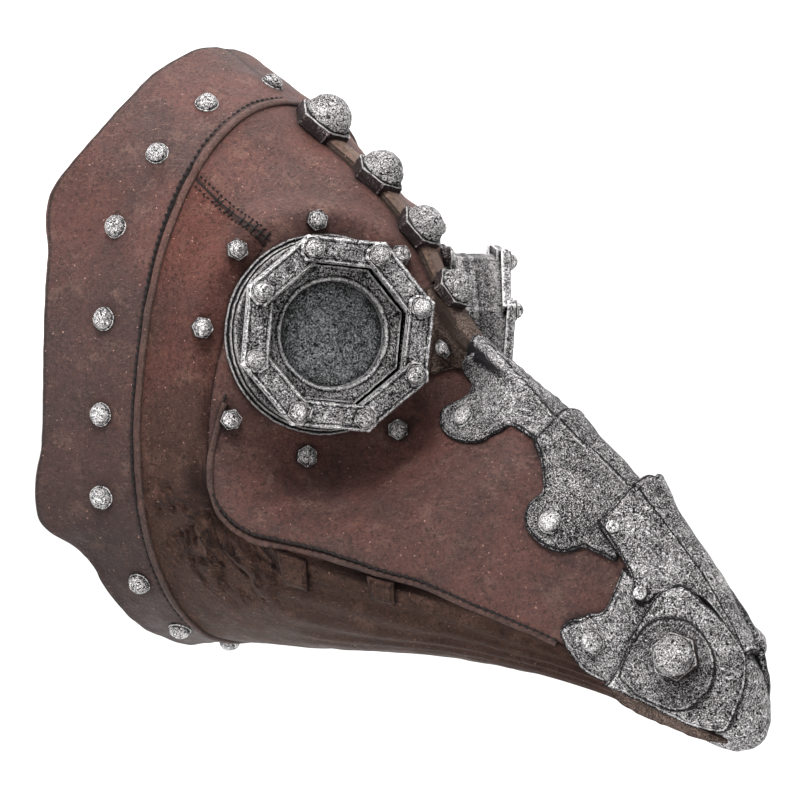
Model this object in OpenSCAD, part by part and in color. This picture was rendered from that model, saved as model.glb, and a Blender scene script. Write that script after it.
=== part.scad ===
/* [Leather] */
// Thickness of the face and jaw leather
hide_t = 3; // [2:0.5:4]
// Thickness of the collar leather
collar_t = 4; // [3:0.5:5]
// Radius of the sewn piping cords
piping_r = 1.6; // [1.2:0.1:2]
// How far the forehead strip stands proud of the face
strip_t = 2.6; // [2:0.2:4]

/* [Eyepieces] */
// Radius of the round base flange
flange_r = 37.8; // [36:0.1:37.8]
// Height of the base flange
flange_h = 8; // [6:0.5:9]
// Corner radius of the octagonal front
bezel_r = 38.5; // [37:0.5:40]
// Corner radius of the octagonal opening
bezel_hole_r = 28; // [27:0.5:30]
// Height of the whole eyepiece above the leather
eyepiece_h = 30; // [28:1:32]
// Radius of the round lens opening
lens_hole_r = 19.3; // [17:0.1:21]
// Distance from the leather to the flange nuts' circle
flange_nut_ring = 44; // [43:0.5:46]

/* [Metal plates] */
// Thickness of the beak plates
plate_t = 1.5; // [1:0.25:2]
// Gap between the leather and the beak plates
plate_gap = 0.8; // [0.6:0.1:1.2]

/* [Nuts and rivets] */
// Corner-to-corner widths of the forehead nuts, top to bottom
cap_nut_widths = [23.6, 21, 19.5, 17];
// Radius of the collar rivets' domes
collar_rivet_r = 4.3; // [3:0.1:5]
// Radius of the small nuts and plate rivets
small_nut_r = 4; // [3:0.1:4.5]

/* [Head strap] */
// Width of the elastic webbing
strap_w = 25; // [20:1:30]
// Thickness of the elastic webbing
strap_t = 1.5; // [1:0.1:2]
// Height of the strap's middle above the eyes
strap_z = -6; // [-10:1:0]

/* [Hidden] */

// Fore-and-aft stations of the face and beak, from the collar seam to the tip.
// forward and height of the top line, forward and height of the bottom line,
// half width, height fraction of the widest line, how square the upper and the
// lower half are, and how far the middle bows forward
TF = 0; TZ = 1; BF = 2; BZ = 3; HW = 4; WL = 5; UP = 6; LO = 7; BOW = 8;
stations = [
    [62.5, 90.5, 39.5, -118, 72, 0.5, 2.35, 2.4, -7],
    [79, 74.5, 55, -118.5, 71.5, 0.5, 2.1, 2.3, -4],
    [99, 59, 74, -119, 70, 0.52, 1.9, 2.3, -2],
    [118.5, 39, 94, -119, 65, 0.54, 1.75, 2.3, 0],
    [132, 16.5, 114, -119, 57, 0.56, 1.75, 2.3, 0],
    [146, -1, 132, -119.5, 49, 0.58, 1.7, 2.3, 0],
    [162.2, -13.3, 150, -120.5, 41, 0.58, 1.7, 2.3, 0],
    [183, -28.4, 170, -122.5, 34, 0.58, 1.7, 2.4, 0],
    [201, -42, 190, -126, 28, 0.58, 1.7, 2.6, 0],
    [218, -57, 207, -130, 23, 0.58, 1.7, 2.8, 0],
    [236.5, -75, 222, -135, 19, 0.56, 1.8, 3, 0],
    [251.5, -96.5, 237, -139.5, 16, 0.54, 1.8, 3, 0],
    [263, -118.3, 251, -143.5, 12, 0.52, 2, 3, 0],
    [269, -140, 262, -146, 4, 0.5, 2, 2, 0]];
last_station = len(stations) - 1;
// The collar's free edge: angle round the face, forward distance, flare
rim = [[0, 28.5, 22.5], [8, 28, 22], [16, 27, 19.5], [30, 23, 16], [40, 18, 15.5],
    [48, 12, 15.5], [52, 7, 15], [55, 3, 13.5], [58, 0, 11], [62, 0, 9.5], [66, 0, 6.5], [68, 2, 7],
    [80, 2, 6], [93, 2, 6], [103, 2, 8], [106, 0, 10], [112, 0, 13], [117, 0, 12.5], [120, 3, 9],
    [124, 7, 4], [130, 11, 2], [136, 13, 3.5], [145, 15, 3], [155, 15, 2], [165, 15.5, 1.5],
    [180, 16, 3]];
// Where the upper panel ends: station, angle round the section
welt = [[1.8, 104], [2.2, 111], [3.2, 110], [4.5, 105], [5.7, 106], [6.7, 110],
    [8.4, 112], [11.6, 118]];
// The upper panel's lower edge behind the eyes
dart_angle = 47;
dart_end = 1.8;
// Where the leather stops inside the metal tip
hide_end = 11.6;
// Middle of the eyepiece on the leather: to the side, forward
eye_side = 37.5;
eye_fwd = 100.8;
// Turn of the eyepieces away from straight ahead
eye_turn = 41;
// Flat leather round the eyepiece: radius, and radius where it has faded out
flat_r = 46;
fade_r = 76;
fill_r = 41;
fill_fade_r = 54;
// Half width of the nose ridge between the two flats
ridge_in = 6;
ridge_out = 13;
eps = 0.01;

function clamp(x, lo, hi) = max(lo, min(hi, x));
function ease(lo, hi, x) = let (t = clamp((x - lo) / (hi - lo), 0, 1)) t * t * (3 - 2 * t);
// Smooth curve through the rows of a list
function row_at(rows, i) =
    let (n = len(rows) - 1)
    i < 0 ? 2 * rows[0] - rows[1] : i > n ? 2 * rows[n] - rows[n - 1] : rows[i];
function spline(rows, t) =
    let (i = clamp(floor(t), 0, len(rows) - 2), u = t - i,
        a = row_at(rows, i - 1), b = row_at(rows, i),
        c = row_at(rows, i + 1), d = row_at(rows, i + 2))
    0.5 * (2 * b + u * (c - a) + u * u * (2 * a - 5 * b + 4 * c - d)
        + u * u * u * (3 * b - a - 3 * c + d));

// Point of a plain section: station v, angle a down from the top, + is right
function section(v, a) =
    let (s = spline(stations, v), c = cos(a), r = abs(sin(a)),
        e = c > 0 ? 2 / s[UP] : 2 / s[LO],
        h = s[WL] + (c > 0 ? -s[WL] : 1 - s[WL]) * pow(abs(c), e),
        side = a < 0 ? -1 : 1,
        f = s[TF] + (s[BF] - s[TF]) * h + s[BOW] * 4 * h * (1 - h))
    [-side * s[HW] * pow(r, e), -f, s[TZ] + (s[BZ] - s[TZ]) * h];
// The face flattened round each eyepiece
function face(v, a) =
    let (p = section(v, a), side = p[0] > 0 ? 1 : -1,
        n = [side * sin(eye_turn), -cos(eye_turn), 0],
        q = p - [side * eye_side, -eye_fwd, 0],
        d = q * n, r = norm(q - d * n),
        near = d > 0 ? 1 - ease(flat_r, fade_r, r) : 1 - ease(fill_r, fill_fade_r, r))
    p - d * near * ease(ridge_in, ridge_out, abs(p[0])) * n;
// Outward direction; at the collar seam it lies in the seam's own plane
function unit(v) = v / norm(v);
function wrap(a) = a > 180 ? a - 360 : a < -180 ? a + 360 : a;
function outward(v, a) =
    let (dv = 0.05, da = 2,
        along = face(min(v + dv, last_station), a) - face(max(v - dv, 0), a),
        across = face(v, wrap(a + da)) - face(v, wrap(a - da)),
        n = unit(cross(across, along)))
    v < eps ? unit([n[0], 0, n[2]]) : n;
function skin(v, a, t) = face(v, a) + t * outward(v, a);

// A closed sheet over part of a grid of [station, angle] pairs, between two
// heights over the face. pick says which of the grid's cells it covers.
module sheet(grid, low, high, pick = function(i, j) true) {
    nc = len(grid);
    nr = len(grid[0]);
    n = nc * nr;
    cols = nc - 1;
    rows = nr - 1;
    points = [for (t = [high, low]) for (c = grid) for (p = c) skin(p[0], p[1], t)];
    function id(i, j) = i * nr + j;
    function used(i, j) = i >= 0 && i < cols && j >= 0 && j < rows && pick(i, j);
    function quad(a, b, c, d) = [[a, b, c], [a, c, d]];
    faces = [for (i = [0:cols - 1]) for (j = [0:rows - 1]) if (used(i, j))
        let (a = id(i, j), b = id(i + 1, j), c = id(i + 1, j + 1), d = id(i, j + 1))
        each concat(quad(a, b, c, d), quad(n + d, n + c, n + b, n + a),
            used(i, j - 1) ? [] : quad(b, a, n + a, n + b),
            used(i, j + 1) ? [] : quad(d, c, n + c, n + d),
            used(i - 1, j) ? [] : quad(a, d, n + d, n + a),
            used(i + 1, j) ? [] : quad(c, b, n + b, n + c))];
    polyhedron(points, faces);
}

// A cord along a list of points, closed or with flat ends
module cord(path, r, loop = false, sides = 8) {
    n = len(path);
    function at(i) = loop ? path[(i + n) % n] : path[clamp(i, 0, n - 1)];
    points = [for (i = [0:n - 1])
        let (t = unit(at(i + 1) - at(i - 1)), u = unit(cross(t, [0.3, -1, 0.2])),
            w = cross(t, u))
        for (k = [0:sides - 1]) path[i] + r * (cos(360 * k / sides) * u + sin(360 * k / sides) * w)];
    rings = loop ? n : n - 1;
    faces = concat(
        [for (i = [0:rings - 1]) for (k = [0:sides - 1])
            let (a = i * sides + k, b = i * sides + (k + 1) % sides,
                c = (i + 1) % n * sides + (k + 1) % sides, d = (i + 1) % n * sides + k)
            each [[a, c, b], [a, d, c]]],
        loop ? [] : [[for (k = [0:sides - 1]) k], [for (k = [sides - 1:-1:0]) (n - 1) * sides + k]]);
    polyhedron(points, faces);
}

// Angle of a grid line: row 0 is the top, edge_row is the welt, last_row the chin
upper_rows = [0, 0.05, 0.11, 0.18, 0.27, 0.36, 0.45, 0.56, 0.68, 0.79, 0.9, 1];
lower_rows = [0.12, 0.28, 0.46, 0.64, 0.82, 1];
edge_row = len(upper_rows) - 1;
dart_row = 6;
last_row = edge_row + len(lower_rows);
function welt_angle(v) = lookup(v, welt);
function half_angle(v, k) = k <= edge_row
    ? welt_angle(v) * upper_rows[k]
    : welt_angle(v) + (180 - welt_angle(v)) * lower_rows[k - edge_row - 1];
hide_stations = [0, 0.6, 1.2, 1.8, 2.2, 2.6, 3, 3.4, 3.8, 4.2, 4.6, 5, 5.4, 5.8, 6.4, 7,
    7.8, 8.6, 9.4, 10.2, 11, 11.6];
// The right half of the leather; both panels meet their mirror images on the midline
hide_grid = [for (v = hide_stations) [for (k = [0:last_row]) [v, half_angle(v, k)]]];
function in_brow(i, j) = j < (hide_stations[i] + eps < dart_end ? dart_row : edge_row);

// Frame of one eyepiece: origin on the leather, +Z outwards, +Y up
module at_eye(left = false) {
    mirror([left ? 1 : 0, 0, 0]) translate([-eye_side, -eye_fwd, 0]) rotate([90, 0, -eye_turn])
        children();
}
// Frame on the face surface, +Z outwards
module on_face(v, a, t = 0) {
    p = skin(v, a, t);
    n = outward(v, a);
    translate(p) rotate([0, acos(n[2]), atan2(n[1], n[0])]) children();
}
module domed_nut(r, h = 3) {
    cylinder(r = r, h = h, $fn = 6);
    translate([0, 0, h]) intersection() {
        sphere(r = r * 0.86, $fn = 32);
        translate([-r, -r, 0]) cube(2 * r);
    }
}
module cap_nut(width) {
    r = width / 2;
    dome_r = 0.84 * r;
    hex_h = width * 0.235;
    cylinder(r = r, h = hex_h, $fn = 6);
    translate([0, 0, hex_h]) intersection() {
        sphere(r = dome_r, $fn = 48);
        cylinder(r = r, h = r);
    }
}
eye_hole_r = 30;
eye_hole_depth = 12;
module eye_hole() {
    at_eye() cylinder(r = eye_hole_r, h = 2 * eye_hole_depth, center = true, $fn = 48);
}
// Everything on the wearer's left of the midline
half_space = 600;
module left_side() {
    translate([0, -half_space / 2, -half_space / 2]) cube([half_space, half_space, half_space]);
}

// ---- leather ----
module brow_panel_right() {
    color("#5b4038") difference() {
        sheet(hide_grid, -hide_t, 0, function(i, j) in_brow(i, j));
        eye_hole();
        left_side();
    }
}
module brow_panel_left() { mirror([1, 0, 0]) brow_panel_right(); }
module jaw_panel_right() {
    color("#523832") difference() {
        sheet(hide_grid, -hide_t, 0, function(i, j) !in_brow(i, j));
        eye_hole();
        left_side();
    }
}
module jaw_panel_left() { mirror([1, 0, 0]) jaw_panel_right(); }
function rim_forward(a) = lookup(abs(a), [for (r = rim) [r[0], r[1]]]);
function rim_flare(a) = lookup(abs(a), [for (r = rim) [r[0], r[2]]]);
function seam_out(a) = abs(a) > 180 - eps ? [0, 0, -1] : outward(0, a);
// Point of the collar: angle, 0 at the seam to 1 at the free edge, height over it
function collar(a, s, t) =
    let (p = face(0, a), q = p + rim_flare(a) * seam_out(a), edge = [q[0], -rim_forward(a), q[2]])
    p + (edge - p) * s + t * seam_out(a);
collar_steps = [0.02, 0.5, 1];
module collar_band_right() {
    n = len(rim);
    m = len(collar_steps);
    points = [for (t = [0, -collar_t]) for (s = collar_steps) for (r = rim) collar(r[0], s, t)];
    function id(k, i, j) = (k * m + i) * n + j;
    function quad(a, b, c, d) = [[a, b, c], [a, c, d]];
    sides = [for (j = [0:n - 2]) each concat(
        [for (i = [0:m - 2]) each concat(
            quad(id(0, i, j), id(0, i, j + 1), id(0, i + 1, j + 1), id(0, i + 1, j)),
            quad(id(1, i + 1, j), id(1, i + 1, j + 1), id(1, i, j + 1), id(1, i, j)))],
        quad(id(0, 0, j + 1), id(0, 0, j), id(1, 0, j), id(1, 0, j + 1)),
        quad(id(0, m - 1, j), id(0, m - 1, j + 1), id(1, m - 1, j + 1), id(1, m - 1, j)))];
    ends = [for (i = [0:m - 2]) each concat(
        quad(id(0, i, 0), id(0, i + 1, 0), id(1, i + 1, 0), id(1, i, 0)),
        quad(id(0, i + 1, n - 1), id(0, i, n - 1), id(1, i, n - 1), id(1, i + 1, n - 1)))];
    color("#5b4038") polyhedron(points, concat(sides, ends));
}
module collar_band_left() { mirror([1, 0, 0]) collar_band_right(); }
// Height of the piping cords' middles over the face
piping_rise = 0.6;
module collar_piping() {
    color("#3e2a26") cord([for (a = [-174:6:180]) skin(0, a, piping_rise)], piping_r, true);
}
welt_path = concat([for (v = [1.85:0.15:2.6]) v], [for (v = [2.9:0.35:8.2]) v]);
module beak_piping_right() {
    color("#3e2a26") cord([for (v = welt_path) skin(v, welt_angle(v) + 1, piping_rise)], piping_r);
}
module beak_piping_left() { mirror([1, 0, 0]) beak_piping_right(); }
strip_stations = [0.35:0.35:3.85];
// Angle that the strip covers on each side of the midline, by station
strip_half_angle = [[0.35, 2.6], [2, 4.8], [3.85, 6.7]];
strip_low = 0.3;
strip_play = 0.1;
module forehead_strip() {
    grid = [for (v = strip_stations) [for (k = [-1:0.5:1]) [v, k * lookup(v, strip_half_angle)]]];
    color("#6b4c3c") difference() {
        sheet(grid, strip_low, strip_t);
        for (k = [0:3]) on_face(cap_nut_stations[k], 0, cap_nut_seats[k] - 1)
            cylinder(r = cap_nut_widths[k] / 2 + strip_play, h = 2 * strip_t, $fn = 6);
    }
}
keeper_places = [[3.3, 119.5], [5.15, 115]];
keeper_half_angle = 5.5;
keeper_half_station = 0.33;
keeper_low = 0.4;
keeper_top = 3;
module keeper_tabs() {
    color("#4a332d") for (left = [0, 1]) mirror([left, 0, 0]) for (k = keeper_places)
        sheet([for (v = [-1:1]) [for (a = [-1:1])
            [k[0] + v * keeper_half_station, k[1] + a * keeper_half_angle]]], keeper_low, keeper_top);
}

// ---- metal on the forehead and bridge ----
bridge_low = 0.6;
cap_nut_stations = [0.74, 2.07, 3.05, 4.15];
// Height of each nut's seat: three stand on the leather, the last on the plate
cap_nut_seats = [0.2, 0.2, 0.2, bridge_low + plate_t + 0.2];
module bridge_plate() {
    grid = [for (v = [3.9:0.2:4.7]) [for (a = [-12:4:12]) [v, a]]];
    color("#6d6259") sheet(grid, bridge_low, bridge_low + plate_t);
}
module forehead_cap_nuts() {
    color("#9a9a98") for (k = [0:3])
        on_face(cap_nut_stations[k], 0, cap_nut_seats[k]) cap_nut(cap_nut_widths[k]);
}

// ---- beak plates ----
// Outline of a saddle plate: station, angle down each side
rear_plate = [[4.85, 8], [5.2, 16], [5.6, 30], [5.9, 42], [6.2, 48], [6.45, 44], [6.7, 34], [7, 31]];
middle_plate = [[7.04, 30], [7.25, 44], [7.4, 60], [7.7, 69], [8.1, 70], [8.5, 62], [8.85, 56]];
front_plate = [[8.9, 44], [9.1, 53], [9.3, 60], [9.7, 68], [10.1, 60], [10.5, 40], [10.9, 22]];
module saddle(outline, low) {
    grid = [for (p = outline) [for (k = [-5:5]) [p[0], k / 5 * p[1]]]];
    sheet(grid, low, low + plate_t);
}
// The rear plate lies over the bridge plate, the front one over the middle one
rear_low = plate_gap + 0.4;
front_low = plate_gap + plate_t + 0.3;
module beak_plate_rear() { color("#8e8e8c") saddle(rear_plate, rear_low); }
module beak_plate_middle() { color("#8e8e8c") saddle(middle_plate, plate_gap); }
module beak_plate_front() { color("#8e8e8c") saddle(front_plate, front_low); }
// A side plate between two angles at each station
module side_plate(outline, low) {
    grid = [for (p = outline) [for (k = [0:0.25:1]) [p[0], p[1] + k * (p[2] - p[1])]]];
    sheet(grid, low, low + plate_t);
}
cheek_outline = [[8.4, 98, 112], [8.7, 92, 118], [9, 86, 122], [9.35, 75, 122], [9.75, 63, 121],
    [10.05, 60, 120]];
module cheek_plate_right() { color("#8e8e8c") side_plate(cheek_outline, plate_gap); }
module cheek_plate_left() { mirror([1, 0, 0]) cheek_plate_right(); }
tip_outline = [[10.25, 60, 118], [10.6, 42, 122], [11.1, 26, 124], [11.6, 20, 124], [12.1, 20, 122],
    [12.5, 30, 116]];
tip_plate_low = front_low;
module tip_plate_right() { color("#8e8e8c") side_plate(tip_outline, tip_plate_low); }
module tip_plate_left() { mirror([1, 0, 0]) tip_plate_right(); }
lip_outline = [[9.5, 124, 133], [10.1, 124, 136], [10.8, 126, 138], [11.6, 127, 138]];
module lip_strip_right() { color("#7b7b79") side_plate(lip_outline, plate_gap); }
module lip_strip_left() { mirror([1, 0, 0]) lip_strip_right(); }
// Solid cast hook that closes the beak
module beak_tip() {
    rings = [11.7, 12, 12.3, 12.6, 12.85, last_station - 0.02];
    points = [for (v = rings) for (a = [-165:15:180]) skin(v, a, plate_gap)];
    m = len(rings);
    n = len(points) / m;
    faces = concat(
        [for (i = [0:m - 2]) for (j = [0:n - 1])
            let (a = i * n + j, b = (i + 1) * n + j, c = (i + 1) * n + (j + 1) % n, d = i * n + (j + 1) % n)
            each [[a, b, c], [a, c, d]]],
        [[for (j = [0:n - 1]) j], [for (j = [n - 1:-1:0]) (m - 1) * n + j]]);
    color("#8e8e8c") polyhedron(points, faces);
}
// Cross bolt, its two round bosses and their cap nuts share one axis
boss_station = 10.85;
boss_angle = 76;
boss_r = 16;
boss_seat = tip_plate_low + plate_t + 0.2;
boss_t = 3;
boss_top_r = 10.5;
boss_nut_w = 17.5;
bolt_r = 2.9;
module at_boss() { on_face(boss_station, boss_angle, boss_seat) children(); }
module boss_disc_right() {
    color("#8e8e8c") at_boss() difference() {
        union() {
            cylinder(r = boss_r, h = boss_t / 2, $fn = 64);
            cylinder(r1 = boss_r - 1.5, r2 = boss_top_r, h = boss_t, $fn = 64);
        }
        translate([0, 0, -1]) cylinder(r = bolt_r + 0.1, h = boss_t + 2, $fn = 32);
    }
}
module boss_disc_left() { mirror([1, 0, 0]) boss_disc_right(); }
module boss_cap_nuts() {
    color("#9a9a98") for (left = [0, 1]) mirror([left, 0, 0])
        at_boss() translate([0, 0, boss_t]) cap_nut(boss_nut_w);
}
module beak_cross_bolt() {
    p = skin(boss_station, boss_angle, boss_seat + boss_t + 2);
    color("#77777a") translate([0, p[1], p[2]]) rotate([0, 90, 0])
        cylinder(r = bolt_r, h = -2 * p[0], center = true, $fn = 32);
}
// Rivets on the plates: station, angle
plate_rivet_places = [[6.2, 39], [7.85, 60], [9.12, 99]];
rivet_shank_l = 6.5;
rivet_shank_r = 1.5;
module shank(r, l) { translate([0, 0, -l]) cylinder(r = r, h = l, $fn = 24); }
module beak_plate_rivets() {
    color("#a4a4a2") for (side = [-1, 1]) for (p = plate_rivet_places)
        on_face(p[0], side * p[1], plate_gap + plate_t) {
            domed_nut(small_nut_r, 1);
            shank(rivet_shank_r, rivet_shank_l);
        }
}
plate_screw_places = [[9.1, 42], [9.72, 58]];
screw_head_r = 2.4;
screw_head_h = 1.2;
screw_slot_w = 0.7;
module beak_plate_screws() {
    color("#a4a4a2") for (side = [-1, 1]) for (p = plate_screw_places)
        on_face(p[0], side * p[1], front_low + plate_t) difference() {
            union() {
                cylinder(r = screw_head_r, h = screw_head_h, $fn = 24);
                shank(screw_head_r / 2, rivet_shank_l);
            }
            translate([0, 0, screw_head_h])
                cube([2 * screw_head_r + 1, screw_slot_w, screw_head_h], center = true);
        }
}

// ---- eyepieces ----
bezel_turn = 17;
eye_seat = 0.3;
flange_step = 1.6;
housing_r = 35;
housing_hole_r = 30;
link_t = 3;
flange_hole_r = 25;
// Heights of the lens ring's two steps and of its octagonal recess
ring_low_z = 17;
ring_top_z = 20;
ring_recess_z = 17;
ring_r = 25.5;
ring_recess_r = 23.3;
lens_low = 11.3;
lens_t = 2;
lens_r = 21.8;
lens_play = 0.4;
module octagon(r, h) {
    rotate([0, 0, bezel_turn]) cylinder(r = r, h = h, $fn = 8);
}
module eye_flange(left) {
    color("#7d7d7b") at_eye(left) translate([0, 0, eye_seat]) difference() {
        union() {
            cylinder(r = flange_r, h = flange_h / 2, $fn = 96);
            cylinder(r = flange_r - flange_step, h = flange_h - eye_seat, $fn = 96);
        }
        translate([0, 0, -1]) cylinder(r = flange_hole_r, h = flange_h + 2, $fn = 64);
    }
}
module eye_flange_right() { eye_flange(false); }
module eye_flange_left() { eye_flange(true); }
module eye_housing(left) {
    color("#6f6f6d") at_eye(left) translate([0, 0, flange_h]) difference() {
        octagon(housing_r, eyepiece_h - link_t - flange_h);
        translate([0, 0, -1]) octagon(housing_hole_r, eyepiece_h);
    }
}
module eye_housing_right() { eye_housing(false); }
module eye_housing_left() { eye_housing(true); }
// Eight straight links lie round the front, each over the end of the next
module bezel_links(left) {
    mid = (bezel_r + bezel_hole_r) / 2 * cos(22.5);
    wide = (bezel_r - bezel_hole_r) * cos(22.5);
    color("#949492") at_eye(left) translate([0, 0, eyepiece_h - link_t])
        for (k = [0:7]) rotate([0, 0, bezel_turn + 22.5 + 45 * k]) intersection() {
            translate([mid - wide / 2, -20, 0]) cube([wide, 40, link_t]);
            linear_extrude(link_t) polygon([[0, 0], [60, -60 * tan(22.4)], [60, 60 * tan(22.4)]]);
        }
}
module bezel_links_right() { bezel_links(false); }
module bezel_links_left() { bezel_links(true); }
module lens_ring(left) {
    color("#7d7d7b") at_eye(left) difference() {
        union() {
            translate([0, 0, flange_h]) octagon(housing_hole_r - 0.4, ring_low_z - flange_h);
            translate([0, 0, ring_low_z]) octagon(ring_r, ring_top_z - ring_low_z);
        }
        translate([0, 0, ring_recess_z]) octagon(ring_recess_r, ring_top_z);
        cylinder(r = lens_hole_r, h = eyepiece_h, $fn = 96);
        translate([0, 0, flange_h - 1])
            cylinder(r = lens_r + lens_play, h = lens_low + lens_t - flange_h + 1.2, $fn = 96);
    }
}
module lens_ring_right() { lens_ring(false); }
module lens_ring_left() { lens_ring(true); }
module lens(left) {
    color("#3a3d40") at_eye(left) translate([0, 0, lens_low]) cylinder(r = lens_r, h = lens_t, $fn = 96);
}
module lens_right() { lens(false); }
module lens_left() { lens(true); }
module lens_retainer(left) {
    color("#2c2c2e") at_eye(left) translate([0, 0, flange_h]) difference() {
        cylinder(r = lens_r, h = lens_low - flange_h, $fn = 96);
        translate([0, 0, -1]) cylinder(r = lens_hole_r, h = flange_h, $fn = 96);
    }
}
module lens_retainer_right() { lens_retainer(false); }
module lens_retainer_left() { lens_retainer(true); }
bezel_bolt_l = 7;
module bezel_bolts(left) {
    color("#a4a4a2") at_eye(left) for (k = [0:7]) rotate([0, 0, bezel_turn + 45 * k])
        translate([(bezel_r + bezel_hole_r) / 2, 0, eyepiece_h]) {
            domed_nut(small_nut_r, 1.2);
            shank(rivet_shank_r, bezel_bolt_l);
        }
}
module bezel_bolts_right() { bezel_bolts(false); }
module bezel_bolts_left() { bezel_bolts(true); }
// The nuts stand round the flange: angle, extra radius; two more stand on the beak
flange_nut_places = [[43, -1], [90, -2], [134, -1], [177, -1], [224, 1], [265, 1]];
beak_nut_places = [[5.28, 54], [5, 16]];
flange_nut_h = 3.5;
module flange_nuts_right() {
    color("#a4a4a2") {
        at_eye() for (p = flange_nut_places) rotate([0, 0, p[0]])
            translate([flange_nut_ring + p[1], 0, eye_seat]) domed_nut(small_nut_r, flange_nut_h);
        for (p = beak_nut_places) on_face(p[0], p[1], eye_seat) domed_nut(small_nut_r, flange_nut_h);
    }
}
module flange_nuts_left() { mirror([1, 0, 0]) flange_nuts_right(); }

// ---- collar fasteners and strap ----
collar_rivet_places = [[0, 0.3], [24, 0.32], [44, 0.35], [63, 0.4], [82, 0.38], [96, 0.35],
    [112, 0.34], [136, 0.34], [158, 0.3], [180, 0.35]];
module collar_rivet(a, s) {
    da = 3;
    p = collar(a, s, 0);
    across = collar(wrap(a + da), s, 0) - collar(wrap(a - da), s, 0);
    n = unit(cross(across, face(0, a) - collar(a, 1, 0)));
    translate(p) rotate([0, acos(n[2]), atan2(n[1], n[0])]) {
        intersection() {
            translate([0, 0, -0.4]) sphere(r = collar_rivet_r, $fn = 32);
            translate([0, 0, 0.1]) cylinder(r = 2 * collar_rivet_r, h = collar_rivet_r);
        }
        translate([0, 0, 0.5]) shank(rivet_shank_r, collar_t + 1);
    }
}
module collar_rivets() {
    color("#a9a9a7") for (p = collar_rivet_places) {
        collar_rivet(p[0], p[1]);
        if (p[0] > 0 && p[0] < 180) collar_rivet(-p[0], p[1]);
    }
}
// The strap lies inside both tabs and crosses the open back in a straight run
anchor_x = 67.2;
anchor_y = -31;
turn_r = 9;
run_y = -6;
function strap_side(t) =
    // One face of half the strap, seen from above: along the tab and round the turn
    let (mid = [-anchor_x + turn_r, run_y - turn_r])
    concat([[-anchor_x - t, anchor_y]],
        [for (a = [0:15:90]) mid + (turn_r + t) * [-cos(a), sin(a)]]);
function backwards(list) = [for (i = [len(list) - 1:-1:0]) list[i]];
function mirrored(list) = [for (p = list) [-p[0], p[1]]];
module head_strap() {
    outline = concat(strap_side(strap_t), backwards(mirrored(strap_side(strap_t))),
        mirrored(strap_side(0)), backwards(strap_side(0)));
    color("#1d1b1c") translate([0, 0, strap_z - strap_w / 2]) linear_extrude(strap_w)
        polygon(outline);
}
anchor_plate = [1.2, 8, 21];
anchor_rivet_l = 8;
anchor_rivet_z = 5.5;
anchor_head_r = 3;
anchor_head_t = 1.5;
module strap_anchor_plates() {
    color("#77777a") for (left = [0, 1]) mirror([left, 0, 0])
        translate([-anchor_x + 0.1, anchor_y + 5, strap_z]) {
            translate([0, -anchor_plate[1] / 2, -anchor_plate[2] / 2]) cube(anchor_plate);
            for (z = [-1, 1]) translate([2.2, 0, z * anchor_rivet_z]) rotate([0, 90, 0]) {
                shank(rivet_shank_r, anchor_rivet_l);
                shank(anchor_head_r, anchor_head_t);
            }
        }
}
// The slider: two rails above and below the strap, two end bars behind it and a
// middle bar in front of it
slider_l = 17;
bar = 3;
bar_t = 2;
rail_low = run_y - 2.4;
rail_d = 6.2;
slider_h = strap_w + 1;
module upright(x, y) {
    translate([x, y + bar_t / 2, 0]) cube([bar, bar_t, slider_h + 0.2], center = true);
}
module strap_slider() {
    color("#242426") translate([0, 0, strap_z]) {
        for (s = [-1, 1]) {
            translate([0, rail_low + rail_d / 2, s * (slider_h + bar) / 2])
                cube([slider_l, rail_d, bar], center = true);
            upright(s * (slider_l - bar) / 2, run_y + strap_t + 0.3);
        }
        upright(0, rail_low + 0.1);
    }
}

brow_panel_right();
brow_panel_left();
jaw_panel_right();
jaw_panel_left();
collar_band_right();
collar_band_left();
collar_piping();
beak_piping_right();
beak_piping_left();
forehead_strip();
bridge_plate();
forehead_cap_nuts();
keeper_tabs();
beak_plate_rear();
beak_plate_middle();
beak_plate_front();
cheek_plate_right();
cheek_plate_left();
tip_plate_right();
tip_plate_left();
beak_tip();
lip_strip_right();
lip_strip_left();
boss_disc_right();
boss_disc_left();
boss_cap_nuts();
beak_cross_bolt();
beak_plate_rivets();
beak_plate_screws();
eye_flange_right();
eye_flange_left();
eye_housing_right();
eye_housing_left();
bezel_links_right();
bezel_links_left();
lens_ring_right();
lens_ring_left();
lens_right();
lens_left();
lens_retainer_right();
lens_retainer_left();
bezel_bolts_right();
bezel_bolts_left();
flange_nuts_right();
flange_nuts_left();
collar_rivets();
head_strap();
strap_anchor_plates();
strap_slider();
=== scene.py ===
"""Looks of the plague doctor mask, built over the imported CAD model.

Lengths are in millimetres until mesh_piece() turns them into metres. Points on the
face are pairs of a station along the face and an angle down from the top, as in the
CAD source. The wearer's right side is modelled first and mirrored to the left."""
import math

import bmesh
import bpy
import numpy as np
from mathutils import Matrix, Vector
from mathutils.geometry import delaunay_2d_cdt


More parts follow.
